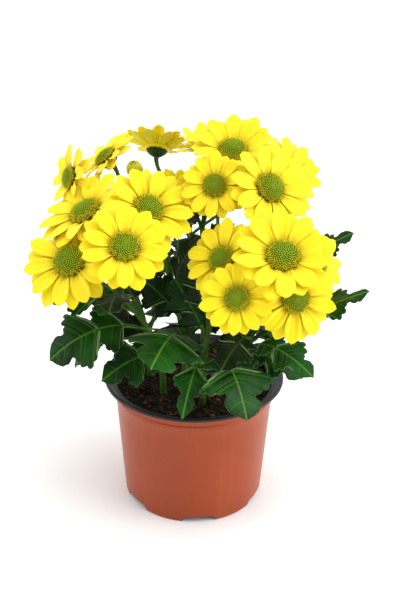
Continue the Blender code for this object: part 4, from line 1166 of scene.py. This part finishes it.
def makeGreens(chance):
    looks = random.Random(stemLook["seed"])
    shapes = {name: Shape() for name in stems}
    trees = {name: cornersOf(name) for name in stems}
    routes = {name: stemRoute(name, growth["stemSteps"]) for name in stems}
    grown = 0
    for name, shape in shapes.items():
        addStem(shape, name, looks)
    for leaves, lobes in ((frontLeaves, frontLobes), (innerLeaves, backLobes)):
        for name, height, tip, *form in leaves:
            start = pointAtHeight(routes[name], height)
            leaf = bentLeaf(trees[name], lobes, start, Vector(tip), *form, leafBends)
            if leaf:
                addLeaf(shapes[name], lobes, leaf, looks)
                grown += 1
            else:
                print("leaf not found on", name)
    for order, (name, route) in enumerate(routes.items()):
        turn = fillers["nextStem"] * order
        for index in range(fillers["perStem"]):
            start = pointAtHeight(route, fillers["lowest"] + fillers["step"] * index)
            for _ in range(fillers["tries"]):
                turn += growth["golden"]
                length = chance.uniform(*fillers["lengths"])
                ahead = Vector((math.cos(turn), math.sin(turn), chance.uniform(*fillers["rises"])))
                tip = start + ahead.normalized() * length
                roll = chance.uniform(-fillers["roll"], fillers["roll"])
                form = (fillers["arch"], length * fillers["width"], roll, fillers["stalk"])
                leaf = bentLeaf(trees[name], backLobes, start, tip, *form, leafBends[:fillers["bends"]])
                if leaf:
                    addLeaf(shapes[name], backLobes, leaf, looks)
                    grown += 1
                    break
    for name, shape in shapes.items():
        shape.build(f"greens_{name}", greenPaint, "foliage", name)
    print("leaves found:", grown)


makeGreens(growChance)


# Bud: petals rolled over a core, held in a small bracted cup.

budLook = {"petals": 11, "bracts": 13, "rows": 12, "columns": 7, "thickness": 0.0003, "seed": 4}


def roundTop(bulge, polar, around, stretch):
    flat = bulge * np.sin(polar)
    return np.stack([flat * np.cos(around), flat * np.sin(around), bulge * np.cos(polar) * stretch], -1)


def makeBud():
    shape, chance = Shape(), random.Random(budLook["seed"])
    spot, (yaw, up), radius = closedBud
    matrix = turnTo(facing(yaw, up), Vector(spot))
    points, faces = ball(4)
    shape.add(points * radius * 0.93, [faces], (0, 0.4, 0), (0.5, 0.2, 0), matrix)
    for layer, (wide, reach, proud) in enumerate(((0.42, 6, 0.0), (0.36, 26, 0.03))):
        for index in range(budLook["petals"]):
            turn = 2 * math.pi * (index + 0.5 * layer) / budLook["petals"]
            t, u = sheetPlaces(budLook["rows"], budLook["columns"])
            polar = np.radians(158 - (158 - reach - chance.uniform(0, 8)) * (t - 0.08 * u ** 2 * t ** 2))
            around = turn + u * wide * (0.55 + 0.45 * np.sin(math.pi * t)) + 0.35 * t
            bulge = radius * (0.96 + proud + 0.05 * (1 - u ** 2) + 0.02 * u)
            thickness = budLook["thickness"] * (1 - 0.5 * u ** 2)
            top = roundTop(bulge, polar, around, 1.04)
            addBlade(shape, top, thickness, u, t, (chance.random(), 0, 0), matrix)
    for index in range(budLook["bracts"]):
        turn = 2 * math.pi * index / budLook["bracts"]
        t, u = sheetPlaces(7, 5)
        polar = np.radians(172 - chance.uniform(66, 84) * (t - 0.1 * u ** 2 * t))
        around = turn + u * 0.30 * (1 - 0.8 * t ** 2)
        bulge = radius * (1.06 + 0.02 * t)
        thickness = budLook["thickness"] * (1 - 0.5 * u ** 2)
        top = roundTop(bulge, polar, around, 1.0)
        addBlade(shape, top, thickness, u, t, (chance.random(), 1, 0), matrix)
    shape.build("flowerBud", budPaint, "bud", "bud")


makeBud()
print("bud closed")


# Studio: a pale floor, soft light from both sides and above, and a camera placed as for the picture.

studio = {
    "floorSize": 30.0, "floorTint": (252, 252, 252), "world": 1.10, "front": 0.44,
    "sun": 0.6, "sunAngle": 75, "sunAhead": (-0.9, 0.25, -1.2),
    "softboxes": {  # where each stands, what it looks at, its size and its power
        "rightSoftbox": ((1.1, -0.35, 0.55), (0, 0, 0.13), 0.9, 8.0),
        "leftSoftbox": ((-1.2, -0.25, 0.6), (0, 0, 0.13), 0.8, 4.0),
        "topSoftbox": ((0.1, -0.2, 1.5), (0, 0, 0.15), 1.0, 5.0),
    },
}
cameraLook = {"place": (0.0062, -0.5026, 0.3665), "target": (0.0062, 0, 0.1367), "lens": 50, "roll": 0.94}


def makeFloor():
    bm = bmesh.new()
    bmesh.ops.create_grid(bm, x_segments=1, y_segments=1, size=studio["floorSize"] / 2)
    floor = solidOf(bm, "paleFloor")
    finish = Finish("paleFloorPaper", {"Roughness": 0.8, "Specular IOR Level": 0.1})
    grain = finish.noise(finish.place, 900.0, 2.0)
    colour = finish.mix(grain * 0.04, tint(*studio["floorTint"]), tint(240, 240, 240))
    finish.wear(colour, grain * 0.1 + 0.75, grain, 0.00002, 0.1)
    floor.data.materials.append(finish.material)


def addSoftLight(name, place, target, size, power):
    light = bpy.data.lights.new(name, "AREA")
    light.shape, light.size, light.energy = "SQUARE", size, power
    item = placed(name, light)
    item.location = place
    item.rotation_euler = (Vector(target) - Vector(place)).to_track_quat("-Z", "Y").to_euler()


def makeStudio():
    world = bpy.data.worlds.new("studioAir")
    bpy.context.scene.world = world
    world.use_nodes = True
    sky = Nodes(world.node_tree)
    background = world.node_tree.nodes["Background"]
    _, y, _ = sky.parts(sky.node("ShaderNodeTexCoord", None, None, "Generated"))
    brightness = sky.step(y, -0.9, 0.2) * (1 - studio["front"]) + studio["front"]
    world.node_tree.links.new((brightness * studio["world"]).socket, background.inputs["Strength"])
    background.inputs["Color"].default_value = (1, 1, 1, 1)
    for name, box in studio["softboxes"].items():
        addSoftLight(name, *box)
    sun = bpy.data.lights.new("evenDaylight", "SUN")
    sun.energy, sun.angle = studio["sun"], math.radians(studio["sunAngle"])
    item = placed("evenDaylight", sun)
    item.rotation_euler = Vector(studio["sunAhead"]).to_track_quat("-Z", "Y").to_euler()
    bpy.context.scene.view_settings.view_transform = "Standard"


def makeCamera():
    data = bpy.data.cameras.new("studioCamera")
    data.lens, data.sensor_width = cameraLook["lens"], 36
    camera = placed("studioCamera", data)
    place, target = Vector(cameraLook["place"]), Vector(cameraLook["target"])
    ahead = (target - place).normalized()
    right = ahead.cross(Vector((0, 0, 1))).normalized()
    up = right.cross(ahead)
    roll = math.radians(cameraLook["roll"])
    level, over = right * math.cos(roll) + up * math.sin(roll), up * math.cos(roll) - right * math.sin(roll)
    camera.matrix_world = Matrix.Translation(place) @ Matrix((level, over, -ahead)).transposed().to_4x4()
    data.clip_start, data.clip_end = 0.01, 60
    bpy.context.scene.camera = camera


makeFloor()
makeStudio()
makeCamera()
print("studio lit")
